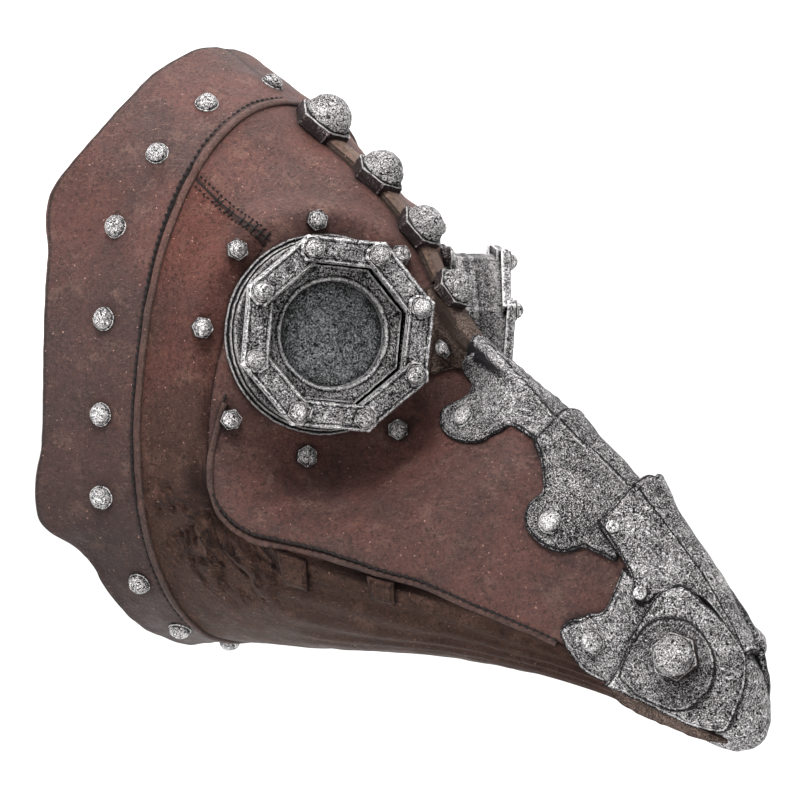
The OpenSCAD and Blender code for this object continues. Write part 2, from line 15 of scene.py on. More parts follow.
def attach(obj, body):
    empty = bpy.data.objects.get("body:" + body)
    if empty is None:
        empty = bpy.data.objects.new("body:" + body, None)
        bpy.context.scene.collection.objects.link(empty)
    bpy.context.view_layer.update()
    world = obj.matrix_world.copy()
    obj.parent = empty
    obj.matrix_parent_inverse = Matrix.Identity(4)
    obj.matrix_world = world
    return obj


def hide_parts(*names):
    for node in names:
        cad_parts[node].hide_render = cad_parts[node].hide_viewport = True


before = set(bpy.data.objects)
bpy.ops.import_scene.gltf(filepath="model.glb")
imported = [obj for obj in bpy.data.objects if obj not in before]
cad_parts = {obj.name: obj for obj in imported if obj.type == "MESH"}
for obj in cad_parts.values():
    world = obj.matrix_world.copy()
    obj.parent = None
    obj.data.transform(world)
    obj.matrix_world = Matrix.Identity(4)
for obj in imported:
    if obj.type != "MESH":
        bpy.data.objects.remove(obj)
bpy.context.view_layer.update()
MM = 0.001

# ---- the face, as in the CAD source ----
# Stations from the collar seam to the tip: forward and height of the top line,
# forward and height of the bottom line, half width, height share of the widest
# line, squareness of the upper and lower half, bow of the middle
STATIONS = np.array([
    [62.5, 90.5, 39.5, -118, 72, 0.5, 2.35, 2.4, -7],
    [79, 74.5, 55, -118.5, 71.5, 0.5, 2.1, 2.3, -4],
    [99, 59, 74, -119, 70, 0.52, 1.9, 2.3, -2],
    [118.5, 39, 94, -119, 65, 0.54, 1.75, 2.3, 0],
    [132, 16.5, 114, -119, 57, 0.56, 1.75, 2.3, 0],
    [146, -1, 132, -119.5, 49, 0.58, 1.7, 2.3, 0],
    [162.2, -13.3, 150, -120.5, 41, 0.58, 1.7, 2.3, 0],
    [183, -28.4, 170, -122.5, 34, 0.58, 1.7, 2.4, 0],
    [201, -42, 190, -126, 28, 0.58, 1.7, 2.6, 0],
    [218, -57, 207, -130, 23, 0.58, 1.7, 2.8, 0],
    [236.5, -75, 222, -135, 19, 0.56, 1.8, 3, 0],
    [251.5, -96.5, 237, -139.5, 16, 0.54, 1.8, 3, 0],
    [263, -118.3, 251, -143.5, 12, 0.52, 2, 3, 0],
    [269, -140, 262, -146, 4, 0.5, 2, 2, 0]], float)
LAST = len(STATIONS) - 1
# Free edge of the collar: angle, forward distance, flare
RIM = np.array([
    [0, 28.5, 22.5], [8, 28, 22], [16, 27, 19.5], [30, 23, 16], [40, 18, 15.5],
    [48, 12, 15.5], [52, 7, 15], [55, 3, 13.5], [58, 0, 11], [62, 0, 9.5], [66, 0, 6.5],
    [68, 2, 7], [80, 2, 6], [93, 2, 6], [103, 2, 8], [106, 0, 10], [112, 0, 13],
    [117, 0, 12.5], [120, 3, 9], [124, 7, 4], [130, 11, 2], [136, 13, 3.5], [145, 15, 3],
    [155, 15, 2], [165, 15.5, 1.5], [180, 16, 3]], float)
# Where the upper panel ends along the beak: station, angle
WELT = np.array([
    [1.75, 102], [1.88, 107.5], [2.2, 111], [2.6, 112], [3.2, 110], [3.9, 107],
    [4.7, 105.2], [5.7, 106], [6.7, 110], [8.4, 112], [11.6, 118]], float)
DART_ANGLE = 47
DART_END = 1.75
HIDE_END = 11.6
HIDE_T = 3.0
COLLAR_T = 4.0
COLLAR_REACH = 45.0
EYE_SIDE = 37.5
EYE_FWD = 100.8
EYE_TURN = math.radians(41)


def smooth(low, high, x):
    t = np.clip((x - low) / (high - low), 0, 1)
    return t * t * (3 - 2 * t)


def bell(x, width):
    return np.exp(-(x / width) ** 2)


def unit(v):
    return v / np.maximum(np.linalg.norm(v, axis=-1, keepdims=True), 1e-9)


def wrap(a):
    return (a + 180) % 360 - 180


def spline(rows, t):
    rows = np.asarray(rows, float)
    n = len(rows) - 1
    more = np.vstack([2 * rows[0] - rows[1], rows, 2 * rows[n] - rows[n - 1]])
    i = np.clip(np.floor(t).astype(int), 0, n - 1)
    u = (t - i)[..., None]
    a, b, c, d = (more[i + k] for k in range(4))
    curve = 2 * b + u * (c - a) + u**2 * (2 * a - 5 * b + 4 * c - d)
    return 0.5 * (curve + u**3 * (3 * b - a - 3 * c + d))


def section(v, a):
    tf, tz, bf, bz, hw, wl, up, lo, bow = np.moveaxis(spline(STATIONS, v), -1, 0)
    c = np.cos(np.radians(a))
    r = np.abs(np.sin(np.radians(a)))
    e = 2 / np.where(c > 0, up, lo)
    h = wl + np.where(c > 0, -wl, 1 - wl) * np.abs(c) ** e
    side = np.where(a < 0, -1, 1)
    f = tf + (bf - tf) * h + bow * 4 * h * (1 - h)
    return np.stack([-side * hw * r**e, -f, tz + (bz - tz) * h], -1)


def eye_offset(p):
    """Height over the eyepiece's own plane, distance from its axis, and the axis."""
    side = np.where(p[..., 0] > 0, 1.0, -1.0)
    flat = 0 * side
    n = np.stack([side * math.sin(EYE_TURN), flat - math.cos(EYE_TURN), flat], -1)
    q = p - np.stack([side * EYE_SIDE, flat - EYE_FWD, flat], -1)
    d = (q * n).sum(-1)
    return d, np.linalg.norm(q - d[..., None] * n, axis=-1), n


def face(v, a):
    p = section(v, a)
    d, r, n = eye_offset(p)
    near = np.where(d > 0, 1 - smooth(46, 76, r), 1 - smooth(41, 54, r))
    return p - (d * near * smooth(6, 13, np.abs(p[..., 0])))[..., None] * n


def outward(v, a):
    along = face(np.minimum(v + 0.05, LAST), a) - face(np.maximum(v - 0.05, 0), a)
    across = face(v, wrap(a + 2)) - face(v, wrap(a - 2))
    n = np.cross(across, along)
    n[..., 1] = np.where(v < 0.01, 0, n[..., 1])
    return unit(n)


def skin(v, a, h=0.0):
    v, a, h = np.broadcast_arrays(*(np.asarray(x, float) for x in (v, a, h)))
    return face(v, a) + h[..., None] * outward(v, a)


def seam_out(a):
    a = np.asarray(a, float)
    n = outward(np.zeros_like(a), np.clip(a, -179.9, 179.9))
    return np.where((np.abs(a) > 179.5)[..., None], [0.0, 0, -1], n)


def rim_at(a, column):
    """The rim's table, with its corners worn round."""
    spread = np.linspace(-2.2, 2.2, 9)
    around = np.abs(np.asarray(a, float))[..., None] + spread
    around = np.where(around > 180, 360 - around, np.abs(around))
    return np.interp(around, RIM[:, 0], RIM[:, column]).mean(-1)


def collar(a, s, h=0.0):
    """Point of the collar: angle, 0 at the seam to 1 at the free edge, height."""
    a, s, h = np.broadcast_arrays(*(np.asarray(x, float) for x in (a, s, h)))
    p = face(np.zeros_like(a), a)
    out = seam_out(a)
    edge = p + rim_at(a, 2)[..., None] * out
    edge[..., 1] = -rim_at(a, 1)
    return p + (edge - p) * s[..., None] + h[..., None] * out


def lumps(p, size, seed):
    """Smooth random heights between -1 and 1 that vary over the given size."""
    cells = 32
    table = np.random.default_rng(seed).uniform(-1, 1, (cells,) * 3)
    q = np.asarray(p, float) / size
    i = np.floor(q).astype(int)
    f = q - i
    f = f * f * (3 - 2 * f)
    total = 0
    for corner in np.ndindex(2, 2, 2):
        k = (i + corner) % cells
        weight = np.prod(np.where(corner, f, 1 - f), axis=-1)
        total = total + weight * table[k[..., 0], k[..., 1], k[..., 2]]
    return total


# ---- shapes: a list of points and a list of faces ----
def join(*shapes):
    points, faces, count = [], [], 0
    for p, f in shapes:
        points.append(p)
        faces += [[i + count for i in face_] for face_ in f]
        count += len(p)
    return np.vstack(points), faces


def flipped(shape):
    points, faces = shape
    return points * [-1, 1, 1], [f[::-1] for f in faces]


def both(shape):
    return join(shape, flipped(shape))


def tube(rings, loop=False):
    """A skin through rings of points, closed at both ends or into a loop; the rings turn
    left seen from the far end."""
    rings = np.asarray(rings, float)
    m, n = rings.shape[:2]
    faces = []
    for i in range(m if loop else m - 1):
        a, b = i * n, (i + 1) % m * n
        for j in range(n):
            k = (j + 1) % n
            faces.append([a + j, a + k, b + k, b + j])
    if not loop:
        faces.append(list(range(n - 1, -1, -1)))
        faces.append([(m - 1) * n + j for j in range(n)])
    return rings.reshape(-1, 3), faces


def place(origin, x, y, z):
    axes = np.array([x, y, z], float)
    return lambda p: np.asarray(origin) + np.asarray(p, float) @ axes


def on_face(v, a, h):
    """Frame on the face: Z outwards, Y level."""
    n = outward(np.array(float(v)), np.array(float(a)))
    h_flat = math.hypot(n[0], n[1])
    x = [n[2] * n[0] / h_flat, n[2] * n[1] / h_flat, -h_flat]
    y = [-n[1] / h_flat, n[0] / h_flat, 0]
    return place(skin(v, a, h), x, y, n)


at_eye = place([-EYE_SIDE, -EYE_FWD, 0], [math.cos(EYE_TURN), -math.sin(EYE_TURN), 0],
               [0, 0, 1], [-math.sin(EYE_TURN), -math.cos(EYE_TURN), 0])


def shifted(frame_, r, turn, height):
    """The frame moved to a distance and angle round its axis."""
    centre = np.array([r * math.cos(turn), r * math.sin(turn), height])
    return lambda p: frame_(np.asarray(p) + centre)


def polygon_radius(theta, corner_r, sides, turn=0.0):
    """Distance to a regular polygon's edge; 0 sides is a circle."""
    if not sides:
        return np.full_like(theta, corner_r)
    step = 2 * math.pi / sides
    within = (theta - turn) % step - step / 2
    return corner_r * math.cos(step / 2) / np.cos(within)


def profile_rings(profile, count, turn):
    theta = np.arange(count) * 2 * math.pi / count
    rings = []
    for radius, z, sides in profile:
        r = polygon_radius(theta, radius, sides, turn)
        rings.append(np.stack([r * np.cos(theta), r * np.sin(theta), np.full(count, z)], -1))
    return rings


def lathe(profile, frame_, count=48, turn=0.0, rough=0.0, seed=1, grain=1.6):
    """Rings of (corner radius, height, sides) from bottom to top, closed at both ends."""
    points, faces = tube(profile_rings(profile, count, turn))
    if rough:
        points = points + unit(points - [0, 0, profile[0][1]]) * (
            rough * lumps(points + seed * 7.3, grain, seed))[:, None]
    return frame_(points), faces


def arc(radius, centre_z, low, high, steps):
    """Profile rings of a dome between two elevations in degrees."""
    return [(max(radius * math.cos(math.radians(t)), 0.02),
             centre_z + radius * math.sin(math.radians(t)), 0)
            for t in np.linspace(low, high, steps)]


# ---- plates: an outline filled with triangles, with a worn edge ----
def curve_outline(corners, spacing=0.8):
    """Smooth closed line through the corners; a third value marks a sharp corner."""
    pts = np.array([c[:2] for c in corners], float)
    sharp = [i for i, c in enumerate(corners) if len(c) > 2]
    line = []
    for start, end in zip(sharp, sharp[1:] + sharp[:1]):
        length = (end - start) % len(pts) or len(pts)
        run = pts[(start + np.arange(length + 1)) % len(pts)]
        for i in range(length):
            count = max(2, int(np.linalg.norm(run[i + 1] - run[i]) / spacing))
            line.append(spline(run, i + np.arange(count) / count))
    line = np.vstack(line)
    x, y = line.T
    area = (x * np.roll(y, -1) - y * np.roll(x, -1)).sum()
    return line if area > 0 else line[::-1]


def edge_distance(p, line):
    a = line[None]
    ab = np.roll(line, -1, 0)[None] - a
    t = np.clip(((p[:, None] - a) * ab).sum(-1) / np.maximum((ab * ab).sum(-1), 1e-9), 0, 1)
    return np.linalg.norm(p[:, None] - a - t[..., None] * ab, axis=-1).min(1)


def inside(p, line):
    x, y = p[:, :1], p[:, 1:]
    x0, y0 = line.T
    x1, y1 = np.roll(line, -1, 0).T
    crosses = (y0 > y) != (y1 > y)
    slope = np.where(y1 == y0, 1, y1 - y0)
    return (crosses & (x < x0 + (y - y0) * (x1 - x0) / slope)).sum(1) % 2 == 1


def close(top, bottom, faces, middle=None):
    """A solid between two matching sheets. A middle sheet gives its walls a row of points
    half way down, so that only the edges of the walls look worn."""
    sheets = [top, bottom] if middle is None else [top, middle, bottom]
    count = len(top)
    last = (len(sheets) - 1) * count
    edges = dict.fromkeys((a, b) for f in faces for a, b in zip(f, f[1:] + f[:1]))
    free = [(a, b) for a, b in edges if (b, a) not in edges]
    walls = [[b + k, a + k, a + k + count, b + k + count]
             for k in range(0, last, count) for a, b in free]
    faces = faces + [[i + last for i in f[::-1]] for f in faces] + walls
    keep = np.unique(np.concatenate(faces))
    new = np.full(last + count, -1)
    new[keep] = np.arange(len(keep))
    return np.vstack(sheets)[keep], [new[f].tolist() for f in faces]


def worn_edge(d):
    """Rounded outer edge, thin raised border and a faint line inside it."""
    return (-0.5 * (1 - smooth(0, 0.5, d)) + 0.20 * bell(d - 0.75, 0.4)
            - 0.20 * bell(d - 1.7, 0.45))


def soft_edge(d):
    return -0.9 * (1 - smooth(0, 1.3, d)) + 0.15 * bell(d - 1.6, 0.7)


# Distances from the edge of the rows of points that follow it
EDGE_RINGS = (0.3, 0.7, 1.15, 1.7, 2.3)


def plate(line, to_point, top, low, edge=worn_edge, cell=1.2):
    """A closed plate over an outline. top gives the height at (x, y) and low is the height
    of the underside; edge gives the height to add at a distance from the edge."""
    ahead = np.roll(line, -1, 0) - np.roll(line, 1, 0)
    inward = unit(np.stack([-ahead[:, 1], ahead[:, 0]], -1))
    extra = []
    for d in EDGE_RINGS:
        ring = line + d * inward
        ring = ring[inside(ring, line)]
        extra.append(ring[edge_distance(ring, line) > 0.93 * d])
    lo, hi = line.min(0), line.max(0)
    gx, gy = np.meshgrid(np.arange(lo[0], hi[0], cell), np.arange(lo[1], hi[1], cell * 0.87))
    gx = gx + (np.arange(gx.shape[0]) % 2)[:, None] * cell / 2
    grid = np.stack([gx.ravel(), gy.ravel()], -1)
    grid = grid[inside(grid, line)]
    extra.append(grid[edge_distance(grid, line) > EDGE_RINGS[-1] + 0.6 * cell])
    n = len(line)
    points = [Vector(p) for p in np.vstack([line] + extra)]
    border = [(i, (i + 1) % n) for i in range(n)]
    flat, _, faces, *_ = delaunay_2d_cdt(points, border, [], 1, 1e-4)
    flat = np.array(flat)
    x, y = flat.T
    high = top(x, y) + edge(edge_distance(flat, line))
    return close(to_point(x, y, high), to_point(x, y, low), [list(f) for f in faces],
                 to_point(x, y, (high + low) / 2))


def dented(height, amount, size, seed):
    """Heights for a plate: a number or a function, with random dents added."""
    def top(x, y):
        base = height(x, y) if callable(height) else height
        return base + amount * lumps(np.stack([x, y, 0 * x], -1), size, seed)
    return top


# Stations and angles in millimetres of plate outline
STATION_MM = 21.0
ANGLE_MM = 0.55


def skin_point(x, y, h):
    return skin(x / STATION_MM, y / ANGLE_MM, h)


def skin_line(corners, spacing=0.8):
    return curve_outline([(c[0] * STATION_MM, c[1] * ANGLE_MM) + tuple(c[2:])
                          for c in corners], spacing)


def saddle_line(corners):
    """Outline of a plate that lies over the ridge, from its right half."""
    return skin_line(corners + [(c[0], -c[1]) + tuple(c[2:]) for c in corners[::-1] if c[1]])


# ---- materials ----
def add_node(tree, kind, inputs, **settings):
    """A shader node. inputs maps its sockets to a number, vector or colour, or to another
    node's socket."""
    made = tree.nodes.new("ShaderNode" + kind)
    for key, value in settings.items():
        setattr(made, key, value)
    for key, value in inputs.items():
        link(tree, value, made.inputs[key])
    return made


def link(tree, value, socket):
    if isinstance(value, (int, float, tuple)):
        socket.default_value = value + (1.0,) if socket.type == "RGBA" else value
    else:
        tree.links.new(value, socket)


class Looks:
    """A material built from procedural nodes. The first part of its name, up to a dot, is
    the material slot of the pieces that use it."""

    def __init__(self, name):
        self.material = bpy.data.materials.new(name)
        self.material.use_nodes = True
        self.shader = self.material.node_tree.nodes["Principled BSDF"]
        self.place = self.node("TexCoord", {}).outputs["Object"]

    def node(self, kind, inputs, **settings):
        return add_node(self.material.node_tree, kind, inputs, **settings)

    def noise(self, scale, detail=4.0, roughness=0.55, distortion=0.0, stretch=None):
        where = self.place
        if stretch:
            where = self.node("Mapping", {"Vector": where, "Scale": stretch}).outputs["Vector"]
        return self.node("TexNoise", {
            "Vector": where, "Scale": scale, "Detail": detail, "Roughness": roughness,
            "Distortion": distortion}).outputs["Fac"]

    def steps(self, value, low, high, first=0.0, last=1.0):
        """Goes softly from first to last while the value goes from low to high."""
        return self.node("MapRange", {
            "Value": value, "From Min": low, "From Max": high, "To Min": first, "To Max": last},
            interpolation_type="SMOOTHSTEP").outputs["Result"]

    def math(self, operation, a, b=0.0):
        return self.node("Math", {0: a, 1: b}, operation=operation).outputs[0]

    def times(self, a, b):
        return self.math("MULTIPLY", a, b)

    def add(self, *values):
        total = values[0]
        for value in values[1:]:
            total = self.math("ADD", total, value)
        return total

    def ridges(self, *noise):
        """0 on thin curly lines, more beside them."""
        return self.math("ABSOLUTE", self.math("SUBTRACT", self.noise(*noise), 0.5))

    def mix(self, share, a, b):
        return self.node("Mix", {"Factor": share, 6: a, 7: b}, data_type="RGBA").outputs[2]

    def scaled(self, colour, amount):
        return self.node("VectorMath", {0: colour, "Scale": amount},
                         operation="SCALE").outputs[0]

    def height(self):
        return self.node("SeparateXYZ", {0: self.place}).outputs["Z"]

    def wear_and_shade(self):
        return self.node("Attribute", {}, attribute_name="wear_and_shade").outputs["Fac"]

    def distance_to(self, spot):
        """Distance from a point and from its mirror image, whichever is nearer."""
        spot = tuple(abs(float(c)) * MM for c in spot)
        mirrored = self.node("VectorMath", {0: self.place}, operation="ABSOLUTE").outputs[0]
        return self.node("VectorMath", {0: mirrored, 1: spot},
                         operation="DISTANCE").outputs["Value"]

    def openness(self, reach):
        """1 where nothing stands close, falling towards 0 in corners and under edges."""
        return self.node("AmbientOcclusion", {"Distance": reach * MM}, samples=6).outputs["AO"]

    def bump(self, height, strength, depth):
        made = self.node("Bump", {"Strength": strength, "Distance": depth * MM,
                                  "Height": height})
        self.set(Normal=made.outputs["Normal"])

    def set(self, **inputs):
        for name, value in inputs.items():
            link(self.material.node_tree, value, self.shader.inputs[name.replace("_", " ")])

    def finish(self, colour, roughness, metallic, specular):
        self.set(Base_Color=colour, Roughness=roughness, Metallic=metallic,
                 Specular_IOR_Level=specular)
        return self.material


def leather(name, dark, warm, pale, low=None, shadow_spots=(), gloss=0.24, foot=0.80):
    """Dyed leather: cloudy colour, fine scratches and pores, painted shade in creases, corners and
    under edges, partly dark wash. low is the colour it takes on towards the chin, partly darker
    leather and partly painted shade; the spots are points where a shadow is painted and how far
    each reaches; foot is its brightness at the bottom: shade is painted in towards the bottom and
    light towards the top."""
    look = Looks(name)
    mottle = look.noise(95, 6, 0.62)
    scratches = look.noise(330, 5, 0.75, 1.6, (1.0, 1.0, 3.0))
    pores = look.noise(760, 4, 0.75, 0.6)
    wear_and_shade = look.wear_and_shade()
    black = tuple(0.16 * c for c in dark)
    dust = tuple(min(1, 3.2 * c) for c in pale)
    colour = look.mix(look.steps(look.noise(22, 5, 0.6, 0.4), 0.38, 0.62), dark, warm)
    # value, where its tint starts and ends, the tint's share at both, and the tint
    # low: darker towards the chin, partly darker leather and partly painted shade
    layers = [(look.height(), -0.085, 0.005, 0.85, 0.0, low)] if low else []
    layers += [
        (mottle, 0.50, 0.72, 0.0, 0.55, pale),
        (look.noise(45, 7, 0.68, 0.8), 0.52, 0.70, 0.0, 0.45, black),
        # lighter on edges that stand out, from scuffing; black in the hollows is painted shade,
        # partly dark wash
        (wear_and_shade, 0.03, 0.22, 0.0, 0.5, pale), (wear_and_shade, -0.25, -0.02, 0.8, 0.0, black),
        (pores, 0.34, 0.52, 0.75, 0.0, black), (scratches, 0.54, 0.66, 0.0, 0.62, pale),
        (look.ridges(150, 6, 0.7, 2.2), 0.0, 0.022, 0.5, 0.0, black),
        (look.ridges(420, 6, 0.7, 2.2), 0.0, 0.035, 0.5, 0.0, black),
        (look.noise(900, 2, 0.5), 0.70, 0.76, 0.0, 0.7, dust),
        # black under edges and beside other parts is painted shade, partly dark wash
        (look.openness(9), 0.35, 0.92, 0.85, 0.0, black)]
    # a painted shadow round each given spot
    layers += [(look.distance_to(spot), 2 * MM, reach * MM, 0.85, 0.0, black)
               for spot, reach in shadow_spots]
    for value, start, end, first, last, tint in layers:
        colour = look.mix(look.steps(value, start, end, first, last), colour, tint)
    # painted light towards the top and painted shade towards the bottom
    colour = look.scaled(colour, look.steps(look.height(), -0.13, 0.10, foot, 1.42))
    look.bump(look.add(look.times(pores, 0.6), look.times(mottle, 0.8),
                       look.times(scratches, 0.7)), 1.0, 1.5)
    return look.finish(colour, look.steps(mottle, 0.35, 0.7, 0.5, 0.7), 0.0, gloss)


def metal(name, black, silver, polish, scale=900, shine=0.42, depth=0.35, rub=0.38):
    """Dark antique paint, with bright metal worn through in thin curly lines, and less of it in
    hollows and beside other parts: partly black paint in the recesses, partly painted shade.
    polish is how much shows everywhere and rub how much more shows on the edges."""
    look = Looks(name)
    coarse, fine = (look.steps(look.ridges(size, 1.5, 0.5, twist), 0.01, 0.085, 1.0, 0.0)
                    for size, twist in ((scale, 1.8), (scale * 1.75, 1.2)))
    height = look.add(look.times(coarse, 0.6), look.times(fine, 0.4))
    wear_and_shade = look.wear_and_shade()
    # more bright metal on edges that stand out; less in hollows and beside other parts, partly
    # black paint in the recesses and partly painted shade
    rubbed_and_shaded = look.add(height, look.steps(wear_and_shade, 0.05, 0.30, 0.0, rub),
                      look.steps(wear_and_shade, -0.22, -0.03, -0.55, 0.0),
                      look.steps(look.openness(6), 0.30, 0.90, -0.5, 0.0),
                      look.times(look.noise(75, 4, 0.6), 0.6), -0.3)
    share = look.steps(rubbed_and_shaded, 0.34 - polish, 0.52 - polish)
    look.bump(height, 0.9, depth)
    rough = look.steps(share, 0.0, 1.0, 0.75, shine)
    return look.finish(look.mix(share, black, silver), rough, look.times(share, 0.55), 0.12)


def plain(name, colour, roughness, metallic=0.0, grain=0.0, scale=800):
    look = Looks(name)
    spread = look.noise(scale, 4, 0.6)
    tint = look.mix(look.steps(spread, 0.35, 0.65), tuple(0.7 * c for c in colour), colour)
    if grain:
        look.bump(spread, grain, 0.3)
    return look.finish(tint, roughness, metallic, 0.2)


BROWN = leather("brown_leather", (0.056, 0.025, 0.021), (0.090, 0.033, 0.026),
                (0.135, 0.078, 0.062), foot=1.02)
# the jaw's spot is a painted shadow in the hollow behind the upper panel's rear corner
JAW = leather("brown_leather.jaw", (0.056, 0.025, 0.021), (0.090, 0.033, 0.026),
              (0.125, 0.070, 0.053), (0.045, 0.022, 0.014), [(skin(1.6, 105), 14)], 0.10, 0.84)
COLLAR = leather("brown_leather.collar", (0.048, 0.023, 0.020), (0.082, 0.030, 0.024),
                 (0.130, 0.076, 0.062), (0.034, 0.014, 0.012))
STRIP = leather("brown_leather.strip", (0.105, 0.068, 0.052), (0.135, 0.080, 0.058),
                (0.20, 0.14, 0.11))
PIPING = leather("dark_piping", (0.048, 0.022, 0.018), (0.080, 0.032, 0.025), (0.12, 0.07, 0.055))
SILVER = metal("antique_silver", (0.005, 0.004, 0.005), (0.80, 0.78, 0.78), -0.18, rub=0.55)
# a darker copy of the silver, for the middle plate and the boss disc
DIM_SILVER = metal("antique_silver.dim", (0.005, 0.004, 0.005), (0.66, 0.64, 0.64), -0.22, rub=0.6)
# a brighter copy of the silver for the tip, which sits in shade: painted light
LIT_TIP = metal("antique_silver.lit_tip", (0.005, 0.004, 0.005), (0.85, 0.83, 0.83), -0.15, rub=0.6)
DARKER = metal("antique_silver.dark", (0.006, 0.005, 0.006), (0.50, 0.48, 0.48), -0.18)
BRIGHT = metal("bright_fasteners", (0.010, 0.008, 0.008), (0.84, 0.82, 0.82), 0.0, 800, 0.30)
NUT = metal("bright_fasteners.nuts", (0.010, 0.008, 0.008), (0.74, 0.72, 0.72), -0.08, 760,
            0.28, 0.45)
# a darker copy of the fastener metal for the nuts' sides: painted shade
NUT_SHADED_SIDE = metal("bright_fasteners.shaded_sides", (0.014, 0.008, 0.008), (0.40, 0.34, 0.33), -0.55,
                 760, 0.5)
BRONZE_LOOK = (0.024, 0.015, 0.012), (0.24, 0.17, 0.14), -0.05
BRONZE = metal("bridge_metal", *BRONZE_LOOK)
LIP_BRONZE = metal("antique_silver.bronze", *BRONZE_LOOK)
LENS = metal("smoked_lens", (0.010, 0.010, 0.011), (0.46, 0.47, 0.48), -0.14, 900, 0.34, 0.25)
STEEL = plain("bolt_steel", (0.20, 0.20, 0.21), 0.4, 0.9, 0.2)
RUBBER = plain("black_rubber", (0.02, 0.02, 0.022), 0.6, 0.0, 0.2)
THREAD = plain("dark_piping.thread", (0.012, 0.009, 0.009), 0.8, 0.0, 0.4)
WEBBING = plain("strap_webbing", (0.022, 0.020, 0.021), 0.85, 0.0, 0.5, 1500)
PLASTIC = plain("black_plastic", (0.022, 0.022, 0.024), 0.38)


# ---- pieces ----
def add_wear_and_shade(mesh):
    """How far each vertex stands out from its neighbours, for worn edges and for darker hollows,
    which are partly painted shade.
    """
    count = len(mesh.vertices)
    co = np.empty(count * 3, np.float32)
    mesh.vertices.foreach_get("co", co)
    normals = np.empty(count * 3, np.float32)
    mesh.vertex_normals.foreach_get("vector", normals)
    edges = np.empty(len(mesh.edges) * 2, np.int32)
    mesh.edges.foreach_get("vertices", edges)
    co, normals, edges = co.reshape(-1, 3), normals.reshape(-1, 3), edges.reshape(-1, 2)
    pairs = np.vstack([edges, edges[:, ::-1]])
    step = unit(co[pairs[:, 1]] - co[pairs[:, 0]])
    bend = -(step * normals[pairs[:, 0]]).sum(1)
    near = np.maximum(np.bincount(pairs[:, 0], minlength=count), 1)
    wear_and_shade = np.bincount(pairs[:, 0], bend, count) / near
    made = mesh.attributes.new("wear_and_shade", "FLOAT", "POINT")
    made.data.foreach_set("value", wear_and_shade.astype(np.float32))


def add_object(name, data):
    made = bpy.data.objects.new(name, data)
    bpy.context.scene.collection.objects.link(made)
    return made


def mesh_piece(name, shape, material, nodes=(), body="mask", crease=40):
    points, faces = shape
    mesh = bpy.data.meshes.new(name)
    mesh.from_pydata((points * MM).tolist(), [], faces)
    mesh.validate()
    mesh.materials.append(material)
    mesh.shade_smooth()
    mesh.set_sharp_from_angle(angle=math.radians(crease))
    add_wear_and_shade(mesh)
    piece = add_object(name, mesh)
    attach(piece, body)
    if nodes:
        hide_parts(*nodes)


def both_sides(name, right, material, node="", crease=40):
    """The right piece and its mirror image, as two pieces."""
    for side, shape in (("right", right), ("left", flipped(right))):
        nodes = [f"{node}_{side}"] if node else ()
        mesh_piece(f"{name}_{side}", shape, material, nodes, crease=crease)


def repaint(material, *nodes):
    for name in nodes:
        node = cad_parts[name]
        if not node.material_slots:
            node.data.materials.append(material)
        for holder in node.material_slots:
            holder.material = material


# ---- leather panels ----
FINE_STATION = 0.06
UPPER_ROWS = 112
LOWER_ROWS = 58


def welt_angle(v):
    return np.interp(v, WELT[:, 0], WELT[:, 1])


def half_grid():
    """Stations and angles of the right half; row UPPER_ROWS is the welt."""
    stations = np.concatenate([[0, 0.012], np.arange(1, 194) * FINE_STATION])
    stations = np.append(stations[stations < HIDE_END - 0.02], HIDE_END)
    k = np.arange(UPPER_ROWS + LOWER_ROWS + 1)
    v = np.repeat(stations[:, None], len(k), 1)
    edge = welt_angle(v)
    upper = edge * k / UPPER_ROWS
    lower = edge + (180 - edge) * (k - UPPER_ROWS) / LOWER_ROWS
    return v, np.where(k <= UPPER_ROWS, upper, lower)


GRID_V, GRID_A = half_grid()
DART_ROW = int(round(UPPER_ROWS * DART_ANGLE / WELT[0, 1]))
DART_COLUMN = int(np.argmin(np.abs(GRID_V[:, 0] - DART_END)))
CORNER_V, CORNER_A = 1.95, 108.0


def seam_distance(v, a):
    """Millimetres from the upper panel's edge, + towards that panel."""
    across = (welt_angle(v) - a) * 1.15
    back = (v - DART_END) * 20
    dart = (DART_ANGLE - a) * 1.2
    upper = np.minimum(across, np.maximum(back, dart))
    outer = -np.hypot(np.minimum(across, 0), np.minimum(back, 0))
    return np.where(upper > 0, upper, np.maximum(outer, upper))


